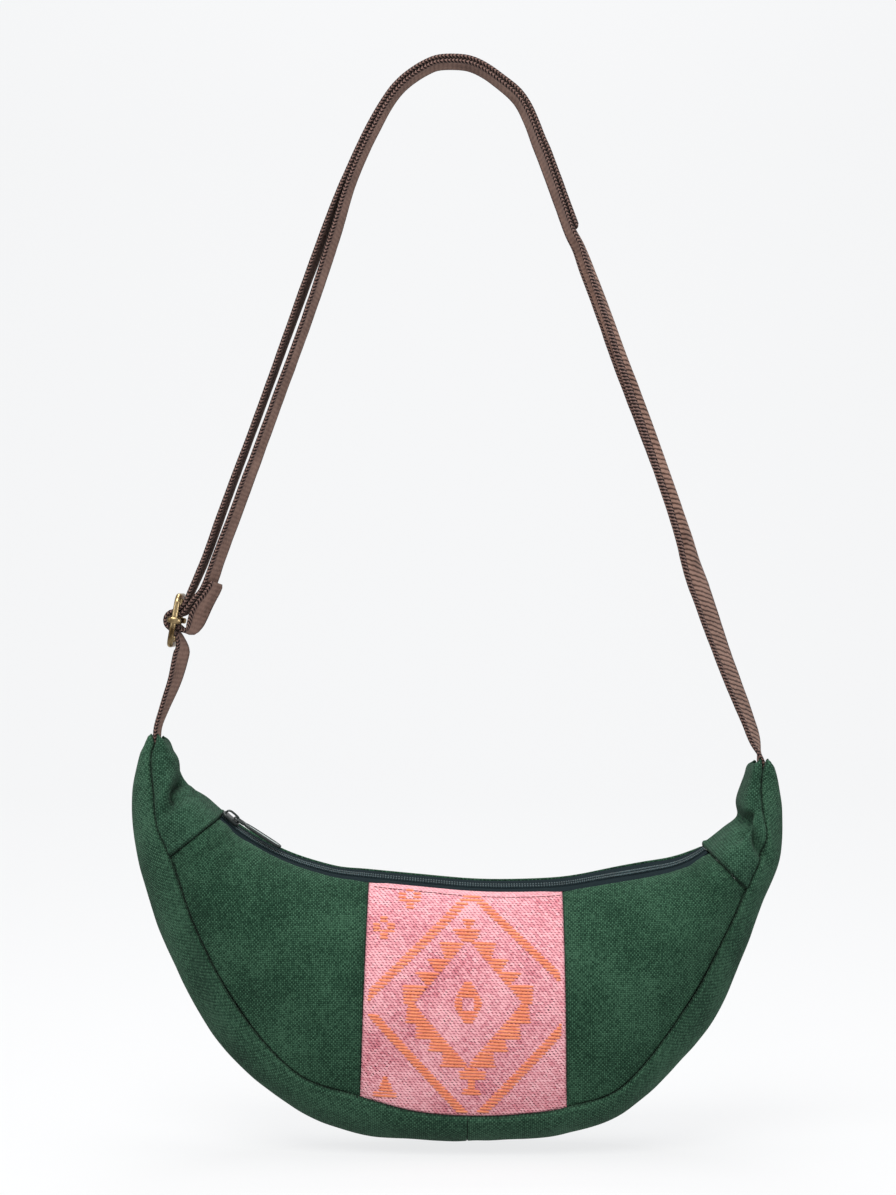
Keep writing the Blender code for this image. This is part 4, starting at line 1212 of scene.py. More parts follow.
def tape_material():
    """Dark teal twill."""
    mat, tree, shader = new_material("teal_twill", 0.95, Specular_IOR_Level=0.08)
    flat = wire(tree, "ShaderNodeUVMap", 0, {"uv_map": "flat"})
    split = wire(tree, "ShaderNodeSeparateXYZ", Vector=flat).node
    slant = maths(tree, "ADD", maths(tree, "DIVIDE", split.outputs["X"], 0.0009),
                  maths(tree, "DIVIDE", split.outputs["Y"], 0.0009))
    twill = maths(tree, "PINGPONG", slant, 0.5)
    tone = use_group(tree, cloth_tone, Vector=flat, Scale=50.0)["Tone"]
    amount = maths(tree, "ADD", twill, maths(tree, "MULTIPLY", tone, 0.6))
    colour = blend_colours(tree, amount, (0.003, 0.008, 0.010, 1.0), (0.014, 0.024, 0.028, 1.0))
    paint(tree, shader, colour, twill, 0.5, 0.0002)
    return mat


def zip_stops(spacing):
    """Places along the zip."""
    first = bag.at["left_cap"] + ZIP_END
    last = bag.at["right_cap"] - ZIP_END
    return np.linspace(first, last, int((last - first) / spacing))


def strip(name, inner_of, outer_of, drop, thick, count, mat, slot, node):
    """A strip in the zip's surface, from one line to another."""
    stops = zip_stops(2.5)
    outer = np.zeros((len(stops), count + 1, 3))
    inner = np.zeros_like(outer)
    flat = np.zeros((len(stops), count + 1, 2))
    for i, s in enumerate(stops):
        for j in range(count + 1):
            f = j / count
            y = inner_of(s) + (outer_of(s) - inner_of(s)) * f
            edge = thick * 0.32 if j in (0, count) else 0.0
            outer[i, j] = bag.lid(float(s), y, drop + edge)
            inner[i, j] = bag.lid(float(s), y, drop + thick - edge)
            flat[i, j] = (s, y)
    return lay_slab(outer, inner, flat, np.zeros(outer.shape[:2]), name, mat, slot,
                    replaces=[node])


tape_cloth = tape_material()
for word, side in (("front", -1), ("back", 1)):
    strip(f"tape_{word}", lambda s: side * (COIL_WIDTH / 2 + GAP),
          lambda s: side * (bag.row(float(s))["half_top"] - TAPE_CLEAR), TAPE_DROP,
          TAPE_THICK, 4, tape_cloth, "zip_tape", f"zip_tape_{word}")
strip("coil_core", lambda s: -COIL_WIDTH / 2, lambda s: COIL_WIDTH / 2,
      0.35, COIL_THICK - COIL_PROUD - 0.35, 6, tape_cloth, "zip_coil", "zip_coil")


def zip_beads():
    """Two rows of beads, one on each side of the coil."""
    bm = bmesh.new()
    for s in zip_stops(BEAD_PITCH):
        s = float(s)
        up = (bag.lid(s, 0.0, -1.0) - bag.lid(s, 0.0, 0.0)).normalized()
        for y in (-2.0, 1.3):
            a = bag.lid(s, y - 1.0, -COIL_PROUD + 0.45)
            b = bag.lid(s, y + 1.0, -COIL_PROUD + 0.45)
            capsule(bm, a, b, 1.05, up * 0.9, 6, 4)
    mat = thread_material("teal_coil", (0.003, 0.009, 0.011), (0.050, 0.095, 0.105), 0.6)
    item = to_object(bm, "coil_beads", mat, "zip_coil", smooth=80.0)
    print("coil_beads", len(item.data.polygons), "faces")


zip_beads()

# %% [markdown]
# ## A helper for bent bars
# A bar of one section that follows a line is a sweep: a ring of edges is extruded from
# place to place. Closed rings are bridged at the end, and open ones are capped.

# %% Sweep a section along places
def sweep(bm, places, segments, half_wide, half_tall, closed=False):
    """Carry an oval ring through a row of matrices."""
    ring = bmesh.ops.create_circle(bm, segments=segments, radius=1.0)["verts"]
    for vert in ring:
        vert.co = places[0] @ Vector((vert.co.x * half_wide, vert.co.y * half_tall, 0.0))
    first = list({e for v in ring for e in v.link_edges})
    edges = first
    for a, b in zip(places, places[1:]):
        made = bmesh.ops.extrude_edge_only(bm, edges=edges)["geom"]
        verts = [v for v in made if isinstance(v, bmesh.types.BMVert)]
        edges = [e for e in made if isinstance(e, bmesh.types.BMEdge) and e.is_boundary]
        bmesh.ops.transform(bm, matrix=b @ a.inverted(), verts=verts)
    if closed:
        bmesh.ops.bridge_loops(bm, edges=first + edges)
    else:
        bmesh.ops.holes_fill(bm, edges=first + edges, sides=0)
    bmesh.ops.recalc_face_normals(bm, faces=bm.faces)


def along_line(points, closed=False, level=(0.0, 1.0, 0.0)):
    """Matrices along a line: Z goes ahead, and X stays in the level direction."""
    places = []
    count = len(points)
    for i, point in enumerate(points):
        before = points[i - 1] if closed or i else points[i]
        after = points[(i + 1) % count] if closed or i + 1 < count else points[i]
        ahead = (Vector(after) - Vector(before)).normalized()
        x = Vector(level)
        x = (x - ahead * x.dot(ahead)).normalized()
        y = ahead.cross(x)
        turn = Matrix((x, y, ahead)).transposed().to_4x4()
        places.append(Matrix.Translation(Vector(point)) @ turn)
    return places


# %% [markdown]
# ## Slider and pull
# The slider is dark enamelled metal: a rounded body, a bridge bent over it, and the pull,
# a long tab with a raised edge round a recess and a wire eye under the bridge. The recess
# is painted pale, as a painted highlight. The pull rides the body that swings on the bridge.

# %% Dark enamel
def enamel_material():
    """Dark enamel, with a pale painted highlight in the recess where a mesh has one."""
    mat, tree, shader = new_material("dark_enamel_gloss", 0.4, 0.2, Coat_Weight=0.25,
                                     Coat_Roughness=0.15)
    place = wire(tree, "ShaderNodeTexCoord", 3)
    noise = wire(tree, "ShaderNodeTexNoise", 0, Vector=place, Scale=260.0, Detail=4.0)
    colour = blend_colours(tree, noise, (0.006, 0.011, 0.011, 1.0), (0.026, 0.034, 0.033, 1.0))
    # Painted highlight: the pull's recess is coloured pale, as if it caught the light.
    colour = blend_colours(tree, point_value(tree, "recess_highlight"), colour, (0.46, 0.52, 0.51, 1.0))
    tree.links.new(colour, shader.inputs["Base Color"])
    rough = maths(tree, "MULTIPLY_ADD", noise, 0.25, 0.30)
    tree.links.new(rough, shader.inputs["Roughness"])
    return mat


dark_enamel = enamel_material()
SLIDER_AT = 9.0
SLIDER_THICK = 1.8
SLIDER_SIZE = (11.0, 8.6, SLIDER_THICK)
BRIDGE_HALF = 5.0
BRIDGE_HEIGHT = 4.0
PULL_LENGTH = 31.0
PULL_HALF_WIDE = 3.5
PULL_THICK = 1.6
PULL_TILT = 8.0
EYE_REACH = 7.4


def slider_frame():
    """Where the slider stands on the zip: X ahead, Y across, Z out of the bag."""
    s = bag.at["left_cap"] + SLIDER_AT
    ahead = (bag.lid(s + 2.0, 0.0, 0.0) - bag.lid(s - 2.0, 0.0, 0.0)).normalized()
    across = (bag.lid(s, 4.0, 0.0) - bag.lid(s, -4.0, 0.0)).normalized()
    up = ahead.cross(across).normalized()
    across = up.cross(ahead).normalized()
    turn = Matrix((ahead, across, up)).transposed().to_4x4()
    return Matrix.Translation(bag.lid(s, 0.0, -COIL_PROUD)) @ turn


def make_slider():
    bm = bmesh.new()
    bmesh.ops.create_cube(bm, size=1.0)
    bmesh.ops.scale(bm, verts=bm.verts, vec=SLIDER_SIZE)
    corners = [e for e in bm.edges if abs(e.verts[0].co.z - e.verts[1].co.z) > 1.0]
    bmesh.ops.bevel(bm, geom=corners, offset=2.6, offset_type="OFFSET", segments=6,
                    profile=0.5, affect="EDGES", material=-1)
    rims = [e for e in bm.edges if abs(e.verts[0].co.z - e.verts[1].co.z) < 0.01
            and len(e.link_faces) == 2 and e.calc_face_angle(0.0) > 1.0]
    bmesh.ops.bevel(bm, geom=rims, offset=0.55, offset_type="OFFSET", segments=4,
                    profile=0.5, affect="EDGES", material=-1)
    bmesh.ops.translate(bm, verts=bm.verts, vec=(0, 0, GAP + SLIDER_THICK / 2))
    line = []
    for i in range(17):
        angle = math.pi * i / 16
        x = -math.copysign(abs(math.cos(angle)) ** 0.55, math.cos(angle)) * (BRIDGE_HALF - 0.8)
        z = GAP + SLIDER_THICK - 0.5 + math.sin(angle) ** 0.6 * (BRIDGE_HEIGHT - 0.9)
        line.append((x, 0.0, z))
    sweep(bm, along_line(line), 12, 1.0, 0.6)
    bm.transform(slider_frame())
    return to_object(bm, "slider_body", dark_enamel, "dark_enamel", replaces=["zip_slider"])


def make_pull():
    bm = bmesh.new()
    # Marks the recess, which takes the painted highlight.
    recess_highlight = bm.verts.layers.float.new("recess_highlight")
    start = EYE_REACH - 1.3
    stop = PULL_LENGTH - PULL_THICK / 2
    middle = (start + stop) / 2
    half = (stop - start) / 2
    ring = bmesh.ops.create_circle(bm, segments=40, radius=1.0, cap_ends=True)["verts"]
    for vert in ring:
        x, y = vert.co.x, vert.co.y
        wide = PULL_HALF_WIDE * (0.80 + 0.20 * min((x + 1.0) / 1.2, 1.0))
        vert.co = (middle + half * math.copysign(abs(x) ** 0.42, x),
                   wide * math.copysign(abs(y) ** 0.62, y), -PULL_THICK / 2)
    made = bmesh.ops.extrude_face_region(bm, geom=list(bm.faces), use_keep_orig=True)
    raised = [v for v in made["geom"] if isinstance(v, bmesh.types.BMVert)]
    bmesh.ops.translate(bm, verts=raised, vec=(0, 0, PULL_THICK))
    rims = [e for e in bm.edges if abs(e.verts[0].co.z - e.verts[1].co.z) < 0.01]
    bmesh.ops.bevel(bm, geom=rims, offset=0.4, offset_type="OFFSET", segments=3,
                    profile=0.5, affect="EDGES", material=-1)
    for up in (1, -1):
        lid = [f for f in bm.faces if len(f.verts) > 20 and f.calc_center_median().z * up > 0]
        bmesh.ops.recalc_face_normals(bm, faces=bm.faces)
        bmesh.ops.inset_region(bm, faces=lid, thickness=0.9, depth=0.0)
        bmesh.ops.inset_region(bm, faces=lid, thickness=0.2, depth=-0.35)
        bmesh.ops.inset_region(bm, faces=lid, thickness=0.1, depth=0.0)
        for vert in {v for f in lid for v in f.verts}:
            vert[recess_highlight] = 1.0
    line = []
    for i in range(20):
        angle = 2 * math.pi * i / 20
        x = math.copysign(abs(math.cos(angle)) ** 0.6, math.cos(angle))
        y = math.copysign(abs(math.sin(angle)) ** 0.6, math.sin(angle))
        line.append((EYE_REACH / 2 - 0.4 + x * EYE_REACH / 2 * 0.92, y * 2.2, 0.0))
    sweep(bm, along_line(line, True, (0, 0, 1)), 10, 0.7, 0.7, closed=True)
    eye = Vector((1.6, 0.0, GAP + SLIDER_THICK + GAP + PULL_THICK / 2))
    tilt = Matrix.Rotation(math.radians(-PULL_TILT), 4, "Y")
    bm.transform(slider_frame() @ Matrix.Translation(eye) @ tilt)
    return to_object(bm, "pull_tab", dark_enamel, "dark_enamel", body="pull",
                     replaces=["zip_pull"], smooth=35.0)


print("slider", len(make_slider().data.polygons), "pull", len(make_pull().data.polygons))

# %% [markdown]
# ## Webbing
# The strap is one kind of thick cotton webbing: ribs across its outer face, fine lines on
# its inner face, and two mottled edges where the weft turns back. The flap at its end is
# rubbed smooth on both faces. All of it is one material, which asks each point how far it
# lies from the edge and on which face. The main layer goes from the right tip over the
# crown and down through the buckle, round its bar, and ends in the flap. The other layer
# comes from the left tip through the buckle, over the first, and lies on it as far as the
# crown.

# %% The webbing's material
def webbing_material():
    """Brown ribbed webbing with mottled edges."""
    mat, tree, shader = new_material("ribbed_webbing", 0.92, Specular_IOR_Level=0.12,
                                     Sheen_Weight=0.05, Sheen_Roughness=0.6)
    flat = wire(tree, "ShaderNodeUVMap", 0, {"uv_map": "flat"})
    split = wire(tree, "ShaderNodeSeparateXYZ", Vector=flat).node
    u, v = split.outputs["X"], split.outputs["Y"]
    edge_and_painted_shade = point_value(tree, "edge_and_painted_shade")
    side = point_value(tree, "outer")
    waver = wire(tree, "ShaderNodeTexNoise", 0, Vector=flat, Scale=230.0, Detail=2.0)
    bend = maths(tree, "MULTIPLY", maths(tree, "SUBTRACT", waver, 0.5), 0.55)
    slanted = maths(tree, "ADD", u, maths(tree, "MULTIPLY", v, 0.35))
    across = maths(tree, "ADD", maths(tree, "DIVIDE", slanted, 0.0029), bend)
    rib = maths(tree, "PINGPONG", across, 0.5)
    rib = maths(tree, "MINIMUM", maths(tree, "MULTIPLY", rib, 3.2), 1.0)
    fine = maths(tree, "PINGPONG", maths(tree, "ADD", maths(tree, "DIVIDE", v, 0.0011), bend), 0.5)
    weft = maths(tree, "PINGPONG", maths(tree, "ADD", maths(tree, "DIVIDE", u, 0.0026), bend), 0.5)
    fine = maths(tree, "MULTIPLY_ADD", fine, 0.5, maths(tree, "MULTIPLY_ADD", weft, 0.5, 0.55))
    rubbed = point_value(tree, "rubbed")
    out_mask = maths(tree, "GREATER_THAN", maths(tree, "MULTIPLY_ADD", rubbed, -9.0, side), 0.0)
    face = wire(tree, "ShaderNodeMix", 0, {"data_type": "FLOAT"}, i0=out_mask, i2=fine, i3=rib)
    beyond = maths(tree, "MAXIMUM", maths(tree, "SUBTRACT", 0.617, edge_and_painted_shade), 0.0)
    girth = maths(tree, "MULTIPLY", side, maths(tree, "MULTIPLY_ADD", beyond, 2.6, 1.0))
    turn = maths(tree, "MULTIPLY", maths(tree, "ABSOLUTE", girth), 0.45)
    stripe = maths(tree, "ADD", maths(tree, "DIVIDE", u, 0.0020), maths(tree, "ADD", turn, bend))
    stripe = maths(tree, "PINGPONG", stripe, 0.5)
    rows = maths(tree, "COSINE", maths(tree, "MULTIPLY", girth, 4.4))
    fleck = maths(tree, "MULTIPLY_ADD", stripe, 3.6, maths(tree, "MULTIPLY_ADD", rows, 0.30, -0.50))
    fleck = maths(tree, "MINIMUM", maths(tree, "MAXIMUM", fleck, 0.0), 1.0)
    edge = maths(tree, "GREATER_THAN", edge_and_painted_shade, 0.25)
    height = wire(tree, "ShaderNodeMix", 0, {"data_type": "FLOAT"}, i0=edge, i2=face, i3=fleck)
    tone = use_group(tree, cloth_tone, Vector=flat, Scale=45.0)["Tone"]
    amount = maths(tree, "ADD", maths(tree, "MULTIPLY", height, 0.75),
                   maths(tree, "MULTIPLY", maths(tree, "SUBTRACT", tone, 0.42), 1.3))
    brown = ramp_colours(tree, amount, (0.08, (0.016, 0.007, 0.005)),
                         (0.92, (0.300, 0.180, 0.140)), (0.5, (0.135, 0.074, 0.056)))
    mottle = blend_colours(tree, fleck, (0.006, 0.003, 0.003, 1.0), (0.215, 0.130, 0.110, 1.0))
    paint(tree, shader, blend_colours(tree, edge, brown, mottle), height, 0.8, 0.00035)
    return mat


brown_webbing = webbing_material()
print("webbing nodes", len(brown_webbing.node_tree.nodes))

# %% [markdown]
# The strap's line is a table for each stretch: the middle of the webbing seen from the
# front, how far it is turned about its length, and how far it is cupped. Each layer's way
# is put together from those stretches.

# %% The strap's ways
WEBBING_WIDTH = 24.0
WEBBING_THICK = 2.3
BUCKLE_BAR = (-153.3, -307.8)
BUCKLE_LEAN = 10.4
BAR_RADIUS = 1.3

# The main layer of the strap: the middle line of the webbing in the X-Z plane, the turn
# about that line (positive turns the outer face to the front) and the cupping across it.
STRAP_COLUMNS = ("x", "z", "turn", "cup")
STRAP_RIGHT_LEG = (
    (171.6, -399.0, 0.0, 0.0),
    (171.5, -386.5, 0.0, 0.0),
    (168.2, -374.5, 16.0, 0.3),
    (162.2, -357.7, 21.0, 0.5),
    (155.6, -341.0, 24.0, 0.5),
    (149.4, -324.4, 25.5, 0.5),
    (138.0, -291.0, 30.0, 1.0),
    (134.4, -279.9, 29.5, 2.0),
    (130.0, -263.3, 23.0, 4.0),
    (123.9, -246.6, 13.0, 5.8),
    (117.6, -229.9, 6.5, 6.8),
    (105.7, -196.6, 0.5, 6.9),
    (93.3, -163.3, -2.5, 6.4),
    (81.6, -129.9, -5.5, 5.2),
    (75.3, -113.3, -6.5, 4.4),
    (70.4, -100.2, -6.5, 3.2),
)
STRAP_LEFT_LEG = (
    (-64.7, -91.9, -7.5, 0.0),
    (-81.3, -141.7, -6.5, 0.0),
    (-99.4, -191.0, -7.5, 0.0),
    (-111.9, -225.0, -8.5, 0.0),
    (-122.1, -252.5, -9.5, 0.0),
    (-129.3, -271.5, -10.0, 0.0),
)

# The outer edge of the strap over the crown, which both layers follow, in the same columns.
CROWN = (
    (69.3, -90.0, -6.5, 2.0),
    (63.9, -75.5, -6.5, 1.6),
    (58.0, -59.7, -6.5, 1.2),
    (51.4, -42.9, -6.0, 0.8),
    (40.1, -17.8, -3.0, 0.4),
    (25.0, -4.2, -0.5, 0.0),
    (12.5, 3.1, 0.0, 0.0),
    (0.0, 4.9, 0.0, 0.0),
    (-12.8, 3.1, 0.0, 0.0),
    (-30.5, -9.0, -0.5, 0.0),
    (-42.9, -26.8, -3.0, 0.0),
    (-58.6, -59.9, -5.5, 0.0),
)

# The outer layer's left leg, and the way of each layer through the buckle. across is
# measured from the middle bar to the outer (left) side and up along the buckle's frame.
TAIL_LEFT_LEG = (
    (-70.6, -91.9, -4.5, 0.0),
    (-88.9, -141.7, -2.5, 0.0),
    (-106.8, -191.0, -1.0, 0.0),
    (-125.6, -241.3, -2.0, 0.0),
    (-137.4, -274.3, -2.0, 0.0),
)
TAIL_LOWER_LEG = (
    (-150.6, -326.0, -13.0, 0.0),
    (-154.3, -341.0, -10.0, 0.0),
    (-160.5, -357.7, -4.0, 0.0),
    (-163.6, -367.0, -1.0, 0.0),
    (-164.3, -374.5, 0.0, 0.0),
    (-164.4, -386.0, 0.0, 0.0),
)
BUCKLE_WAY_COLUMNS = ("across", "up", "turn")
MAIN_THROUGH = (
    (-13.6, 19.8, -11.0),
    (-9.2, 12.0, -9.5),
    (-4.8, 6.1, -3.0),
    (-1.9, 3.3, 0.0),
)
FLAP = (
    (-2.0, -3.4, 0.0),
    (-5.4, -5.2, 2.0),
    (-8.8, -4.2, 9.0),
    (-10.6, 0.0, 15.0),
    (-11.6, 5.0, 18.0),
    (-13.1, 10.2, 17.0),
    (-15.1, 15.2, 14.0),
    (-17.0, 20.0, 12.0),
    (-18.3, 24.5, 10.5),
)
TAIL_ABOVE = (
    (-5.4, 18.0, -1.0),
    (-4.2, 13.2, 0.0),
    (-2.6, 8.6, 0.0),
)
TAIL_BELOW = (
    (-2.0, -7.4, 0.0),
    (-4.2, -10.6, -3.0),
    (-5.8, -14.6, -9.0),
)


def offset_line(points, distance):
    """Rows of a strap table, moved to the inner side of the crown."""
    moved = []
    for i, (x, z, turn, cup) in enumerate(points):
        a = points[max(i - 1, 0)]
        b = points[min(i + 1, len(points) - 1)]
        size = math.hypot(b[0] - a[0], b[1] - a[1])
        moved.append((x - (b[1] - a[1]) / size * distance,
                      z + (b[0] - a[0]) / size * distance, turn, cup))
    return moved


def in_buckle(across, up):
    """From the buckle's own directions to the X-Z plane."""
    lean = math.radians(BUCKLE_LEAN)
    return (BUCKLE_BAR[0] - across * math.cos(lean) + up * math.sin(lean),
            BUCKLE_BAR[1] + across * math.sin(lean) + up * math.cos(lean))


def buckle_way(rows):
    """Rows of a way through the buckle, in the strap table's columns."""
    named = [dict(zip(BUCKLE_WAY_COLUMNS, row)) for row in rows]
    return [(*in_buckle(row["across"], row["up"]), row["turn"], 0.0) for row in named]


def round_bar(radius):
    """Half a turn round the outer side of the middle bar, from its top to its bottom."""
    angles = [math.radians(a) for a in (75, 45, 15, -15, -45, -75)]
    return buckle_way([(radius * math.cos(t), radius * math.sin(t), 0.0) for t in angles])


MAIN_WAY = (list(STRAP_RIGHT_LEG) + offset_line(CROWN, WEBBING_THICK * 1.5 + GAP)
            + list(STRAP_LEFT_LEG) + buckle_way(MAIN_THROUGH)
            + round_bar(BAR_RADIUS + GAP + WEBBING_THICK / 2) + buckle_way(FLAP))
TAIL_WAY = (offset_line(CROWN, WEBBING_THICK / 2) + list(TAIL_LEFT_LEG)
            + buckle_way(TAIL_ABOVE) + round_bar(BAR_RADIUS + 2 * GAP + WEBBING_THICK * 1.5)
            + buckle_way(TAIL_BELOW) + list(TAIL_LOWER_LEG))
print("rows of the two ways", len(MAIN_WAY), len(TAIL_WAY))

# %% [markdown]
# The webbing is laid like the cloth, with its two long edges rounded as a woven edge is.
# A slow small unevenness keeps the edges from looking ruled.

# %% Lay the webbing
class Band:
    """A band of webbing whose middle line follows a way."""

    def __init__(self, way):
        self.knots = [float(k) for k in running_lengths([(r[0], r[1]) for r in way])]
        self.columns = dict(zip(STRAP_COLUMNS, zip(*way)))

    def value(self, column, s):
        return hermite(self.knots, self.columns[column], s)

    def frame(self, s):
        """The middle, the way ahead, across and out, with the cup and the chord."""
        dx = self.value("x", s + 0.3) - self.value("x", s - 0.3)
        dz = self.value("z", s + 0.3) - self.value("z", s - 0.3)
        size = math.hypot(dx, dz)
        ahead = Vector((dx / size, 0.0, dz / size))
        spin = Matrix.Rotation(-math.radians(self.value("turn", s)), 3, ahead)
        outer = spin @ Vector((dz / size, 0.0, -dx / size))
        wide = spin @ Vector((0.0, 1.0, 0.0))
        cup = max(self.value("cup", s), 0.0)
        chord = math.sqrt(WEBBING_WIDTH ** 2 - 16 / 3 * cup ** 2)
        middle = Vector((self.value("x", s), 0.0, self.value("z", s)))
        return middle, ahead, wide, outer, cup, chord

    def point(self, s, w, lift):
        """A point at w (-1 front edge, 1 back edge), lift above the middle of the cloth."""
        middle, _, wide, outer, cup, chord = self.frame(s)
        return middle + wide * (w * chord / 2) + outer * (lift + cup * (0.5 - w * w))


NEVER = 1e6
FLAP_FROM = 815.0


def lay_band(name, way, node, seed, rubbed_from=NEVER):
    """Lay one layer of webbing. Its faces are rubbed smooth past rubbed_from."""
    band = Band(way)
    stops = np.linspace(0.0, band.knots[-1], int(band.knots[-1] / 1.7))
    radius = WEBBING_THICK / 2
    near = np.array([0.0, 0.06, 0.22, 0.48, 0.80, 1.15])
    across = np.concatenate([near, np.linspace(1.9, WEBBING_WIDTH - 1.9, 12),
                             WEBBING_WIDTH - near[::-1]])
    from_edge = np.minimum(across, WEBBING_WIDTH - across)
    thick = radius - dip(from_edge, radius)
    w = 2 * across / WEBBING_WIDTH - 1
    noise = make_noise(seed)
    outer = np.zeros((len(stops), len(across), 3))
    inner = np.zeros_like(outer)
    flat = np.zeros((len(stops), len(across), 2))
    for i, s in enumerate(stops):
        middle, _, wide, out, cup, chord = band.frame(float(s))
        end = min(s, band.knots[-1] - s)
        edge = 0.16 * noise(s / 3.3, 0.0)
        wave = 0.10 * noise(s / 9.0, across / 9.0)
        half = thick * min(math.sqrt(max(end, 0.05)), 1.0)
        base = (np.array(middle)[None] + np.outer(w * (chord / 2 + edge - 0.1), np.array(wide))
                + np.outer(cup * (0.5 - w * w) + wave, np.array(out)))
        outer[i] = base + np.outer(half, np.array(out))
        inner[i] = base - np.outer(half, np.array(out))
        flat[i] = np.stack([np.full_like(across, s), across], 1)
    edge_and_painted_shade = np.repeat(np.clip(1 - from_edge / 3.0, 0, 1)[None], len(stops), 0)
    worn = np.clip((stops - rubbed_from) / 4.0, 0, 1)[:, None] + 0.0 * edge_and_painted_shade
    item = lay_slab(outer, inner, flat, edge_and_painted_shade, name, brown_webbing, "brown_webbing",
                    rubbed=worn, replaces=[node])
    print(name, len(item.data.polygons), "faces,", round(band.knots[-1]), "mm long")
    return band


main_band = lay_band("webbing_main", MAIN_WAY, "strap_main", 31, rubbed_from=FLAP_FROM)
tail_band = lay_band("webbing_tail", TAIL_WAY, "strap_tail", 47)

# %% [markdown]
# The flap is sewn with a few pale stitches, and one loose thread was left long. They are
# capsules again, set on the flap's inner face in the band's own directions.

# %% Stitches on the flap
STITCH_COLUMNS = ("back", "across", "length")
FLAP_STITCHES = ((5.2, -0.62, 1.0), (12.4, -0.80, 1.0), (12.4, -0.45, 1.0), (5.4, 0.2, 1.0),
                 (12.4, 0.3, 1.0), (19.0, -0.55, 1.0))


def flap_stitches():
    """Sew the flap down."""
    bm = bmesh.new()
    end = main_band.knots[-1]
    below = -WEBBING_THICK / 2
    for row in FLAP_STITCHES:
        stitch = dict(zip(STITCH_COLUMNS, row))
        a = end - stitch["back"]
        out = (main_band.point(a, stitch["across"], below - 1)
               - main_band.point(a, stitch["across"], below)).normalized()
        capsule(bm, main_band.point(a, stitch["across"] - 0.03, below),
                main_band.point(a, stitch["across"] + 0.07, below), 0.7, out * 0.7, 6, 4)
    a = end - 9.0
    line = [main_band.point(a - 0.8 * i, -0.35 - 0.03 * i, below - 0.2 - 0.45 * i)
            for i in range(7)]
    sweep(bm, along_line(line), 6, 0.16, 0.16)
    return to_object(bm, "flap_stitches", thread_material(
        "pale_stitching", (0.30, 0.27, 0.24), (0.62, 0.60, 0.56)), "brown_webbing", smooth=80.0)


print("flap_stitches", len(flap_stitches().data.polygons), "faces")

# %% [markdown]
# ## The wire buckle
# The buckle is round wire bent to a rectangle, and its middle bar's ends are flattened
# and wrapped round the two sides as collars. It is antique brass: dark in the hollows,
# pale gold where it is rubbed.

# %% Antique brass
def brass_material():
    """Antique brass, dark in patches and pale where it is rubbed."""
    mat, tree, shader = new_material("antique_brass_wire", 0.3, 1.0)
    place = wire(tree, "ShaderNodeTexCoord", 3)
    noise = wire(tree, "ShaderNodeTexNoise", 0, Vector=place, Scale=140.0, Detail=5.0)
    fine = wire(tree, "ShaderNodeTexNoise", 0, Vector=place, Scale=900.0, Detail=2.0)
    worn = ramp_colours(tree, noise, (0.34, (0.11, 0.068, 0.030)), (0.64, (0.58, 0.43, 0.23)))
    rough = maths(tree, "MULTIPLY_ADD", noise, 0.25, 0.17)
    tree.links.new(rough, shader.inputs["Roughness"])
    paint(tree, shader, worn, fine, 0.25, 0.0002)
    return mat


antique_brass = brass_material()
BUCKLE_SIDE_ROOM = 1.55
WIRE_RADIUS = 1.65
BUCKLE_HALF_WIDTH = WEBBING_WIDTH / 2 + BUCKLE_SIDE_ROOM + WIRE_RADIUS
BUCKLE_HALF_HEIGHT = 13.5
BUCKLE_CORNER = 4.0
COLLAR_INNER, COLLAR_OUTER, COLLAR_HIGH = 2.0, 2.75, 3.2


def buckle_matrix():
    """Where the buckle hangs: X to its outer side, Y along its bar, Z up its frame."""
    lean = math.radians(BUCKLE_LEAN)
    across = Vector((-math.cos(lean), 0.0, math.sin(lean)))
    up = Vector((math.sin(lean), 0.0, math.cos(lean)))
    turn = Matrix((across, up.cross(across), up)).transposed().to_4x4()
    return Matrix.Translation(Vector((BUCKLE_BAR[0], 0.0, BUCKLE_BAR[1]))) @ turn


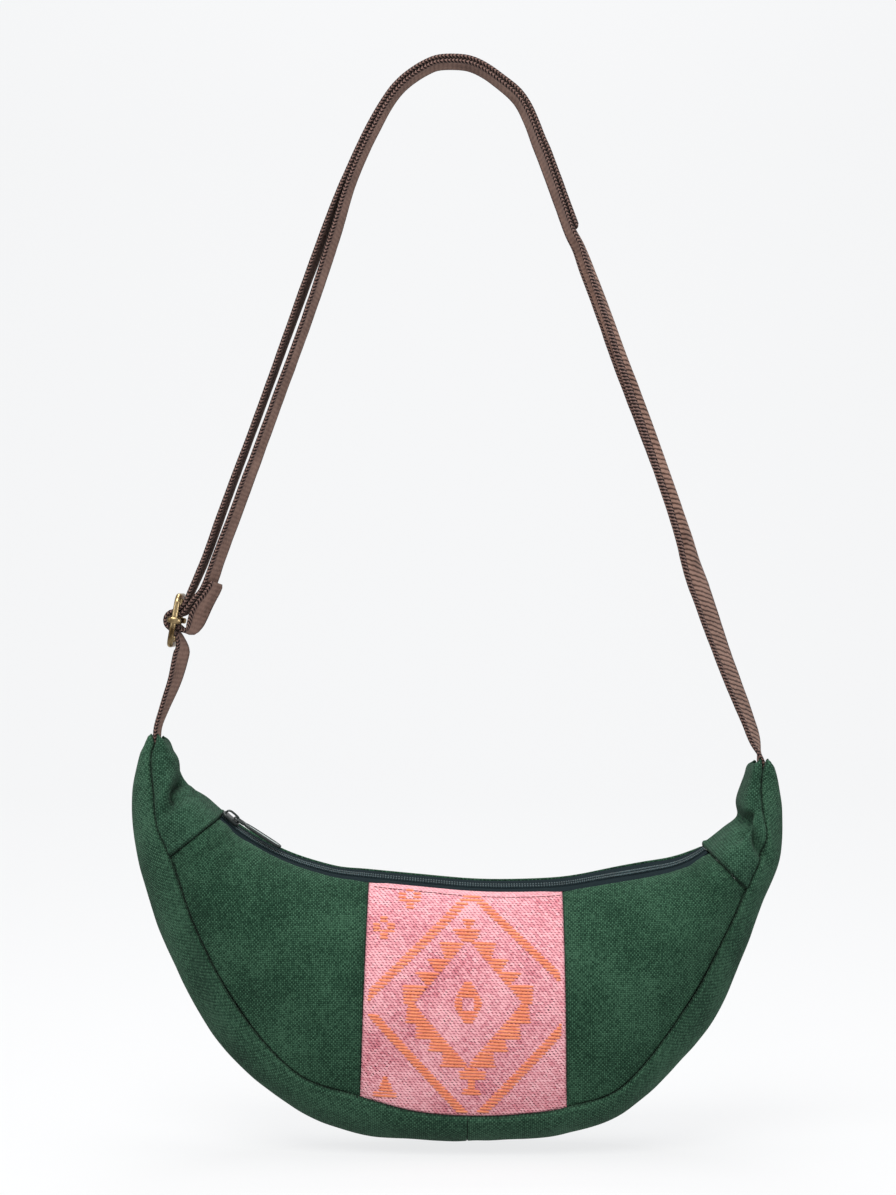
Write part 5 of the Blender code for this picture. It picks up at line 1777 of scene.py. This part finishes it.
def make_frame():
    """Round wire bent to a rectangle with round corners."""
    bm = bmesh.new()
    line = []
    for i, (sy, sz) in enumerate(((1, 1), (-1, 1), (-1, -1), (1, -1))):
        for step in range(9):
            t = math.radians(90 * i + 11.25 * step)
            y = sy * (BUCKLE_HALF_WIDTH - BUCKLE_CORNER) + BUCKLE_CORNER * math.cos(t)
            z = sz * (BUCKLE_HALF_HEIGHT - BUCKLE_CORNER) + BUCKLE_CORNER * math.sin(t)
            line.append((0.0, y, z))
    sweep(bm, along_line(line, True, (1, 0, 0)), 20, WIRE_RADIUS, WIRE_RADIUS, closed=True)
    bm.transform(buckle_matrix())
    return to_object(bm, "wire_frame", antique_brass, "antique_brass",
                     replaces=["buckle_frame"])


def make_bar():
    """The middle bar, with a collar round each side of the frame."""
    bm = bmesh.new()
    bmesh.ops.create_cone(bm, cap_ends=True, segments=20, radius1=BAR_RADIUS,
                          radius2=BAR_RADIUS, depth=2 * (BUCKLE_HALF_WIDTH - 2.35))
    bmesh.ops.rotate(bm, verts=bm.verts, cent=(0, 0, 0),
                     matrix=Matrix.Rotation(math.pi / 2, 3, "X"))
    mean = (COLLAR_INNER + COLLAR_OUTER) / 2
    wall = COLLAR_OUTER - COLLAR_INNER
    for side in (-1, 1):
        before = set(bm.verts)
        turns = [2 * math.pi * i / 28 for i in range(28)]
        line = [(math.cos(t) * mean, math.sin(t) * mean, 0.0) for t in turns]
        sweep(bm, along_line(line, True, (0, 0, 1)), 16, COLLAR_HIGH / 2, wall / 2, closed=True)
        fresh = [v for v in bm.verts if v not in before]
        for vert in fresh:
            z = vert.co.z / (COLLAR_HIGH / 2)
            vert.co.z = math.copysign(abs(z) ** 0.6, z) * COLLAR_HIGH / 2
            r = math.hypot(vert.co.x, vert.co.y)
            vert.co.x *= 1 + (r - COLLAR_INNER) / wall * (4.0 / COLLAR_OUTER - 1)
        bmesh.ops.translate(bm, verts=fresh, vec=(0, side * BUCKLE_HALF_WIDTH, 0))
    bm.transform(buckle_matrix())
    return to_object(bm, "middle_bar", antique_brass, "antique_brass",
                     replaces=["buckle_bar"])


print("buckle", len(make_frame().data.polygons) + len(make_bar().data.polygons), "faces")

# %% Bring the scene up to date
bpy.context.view_layer.update()
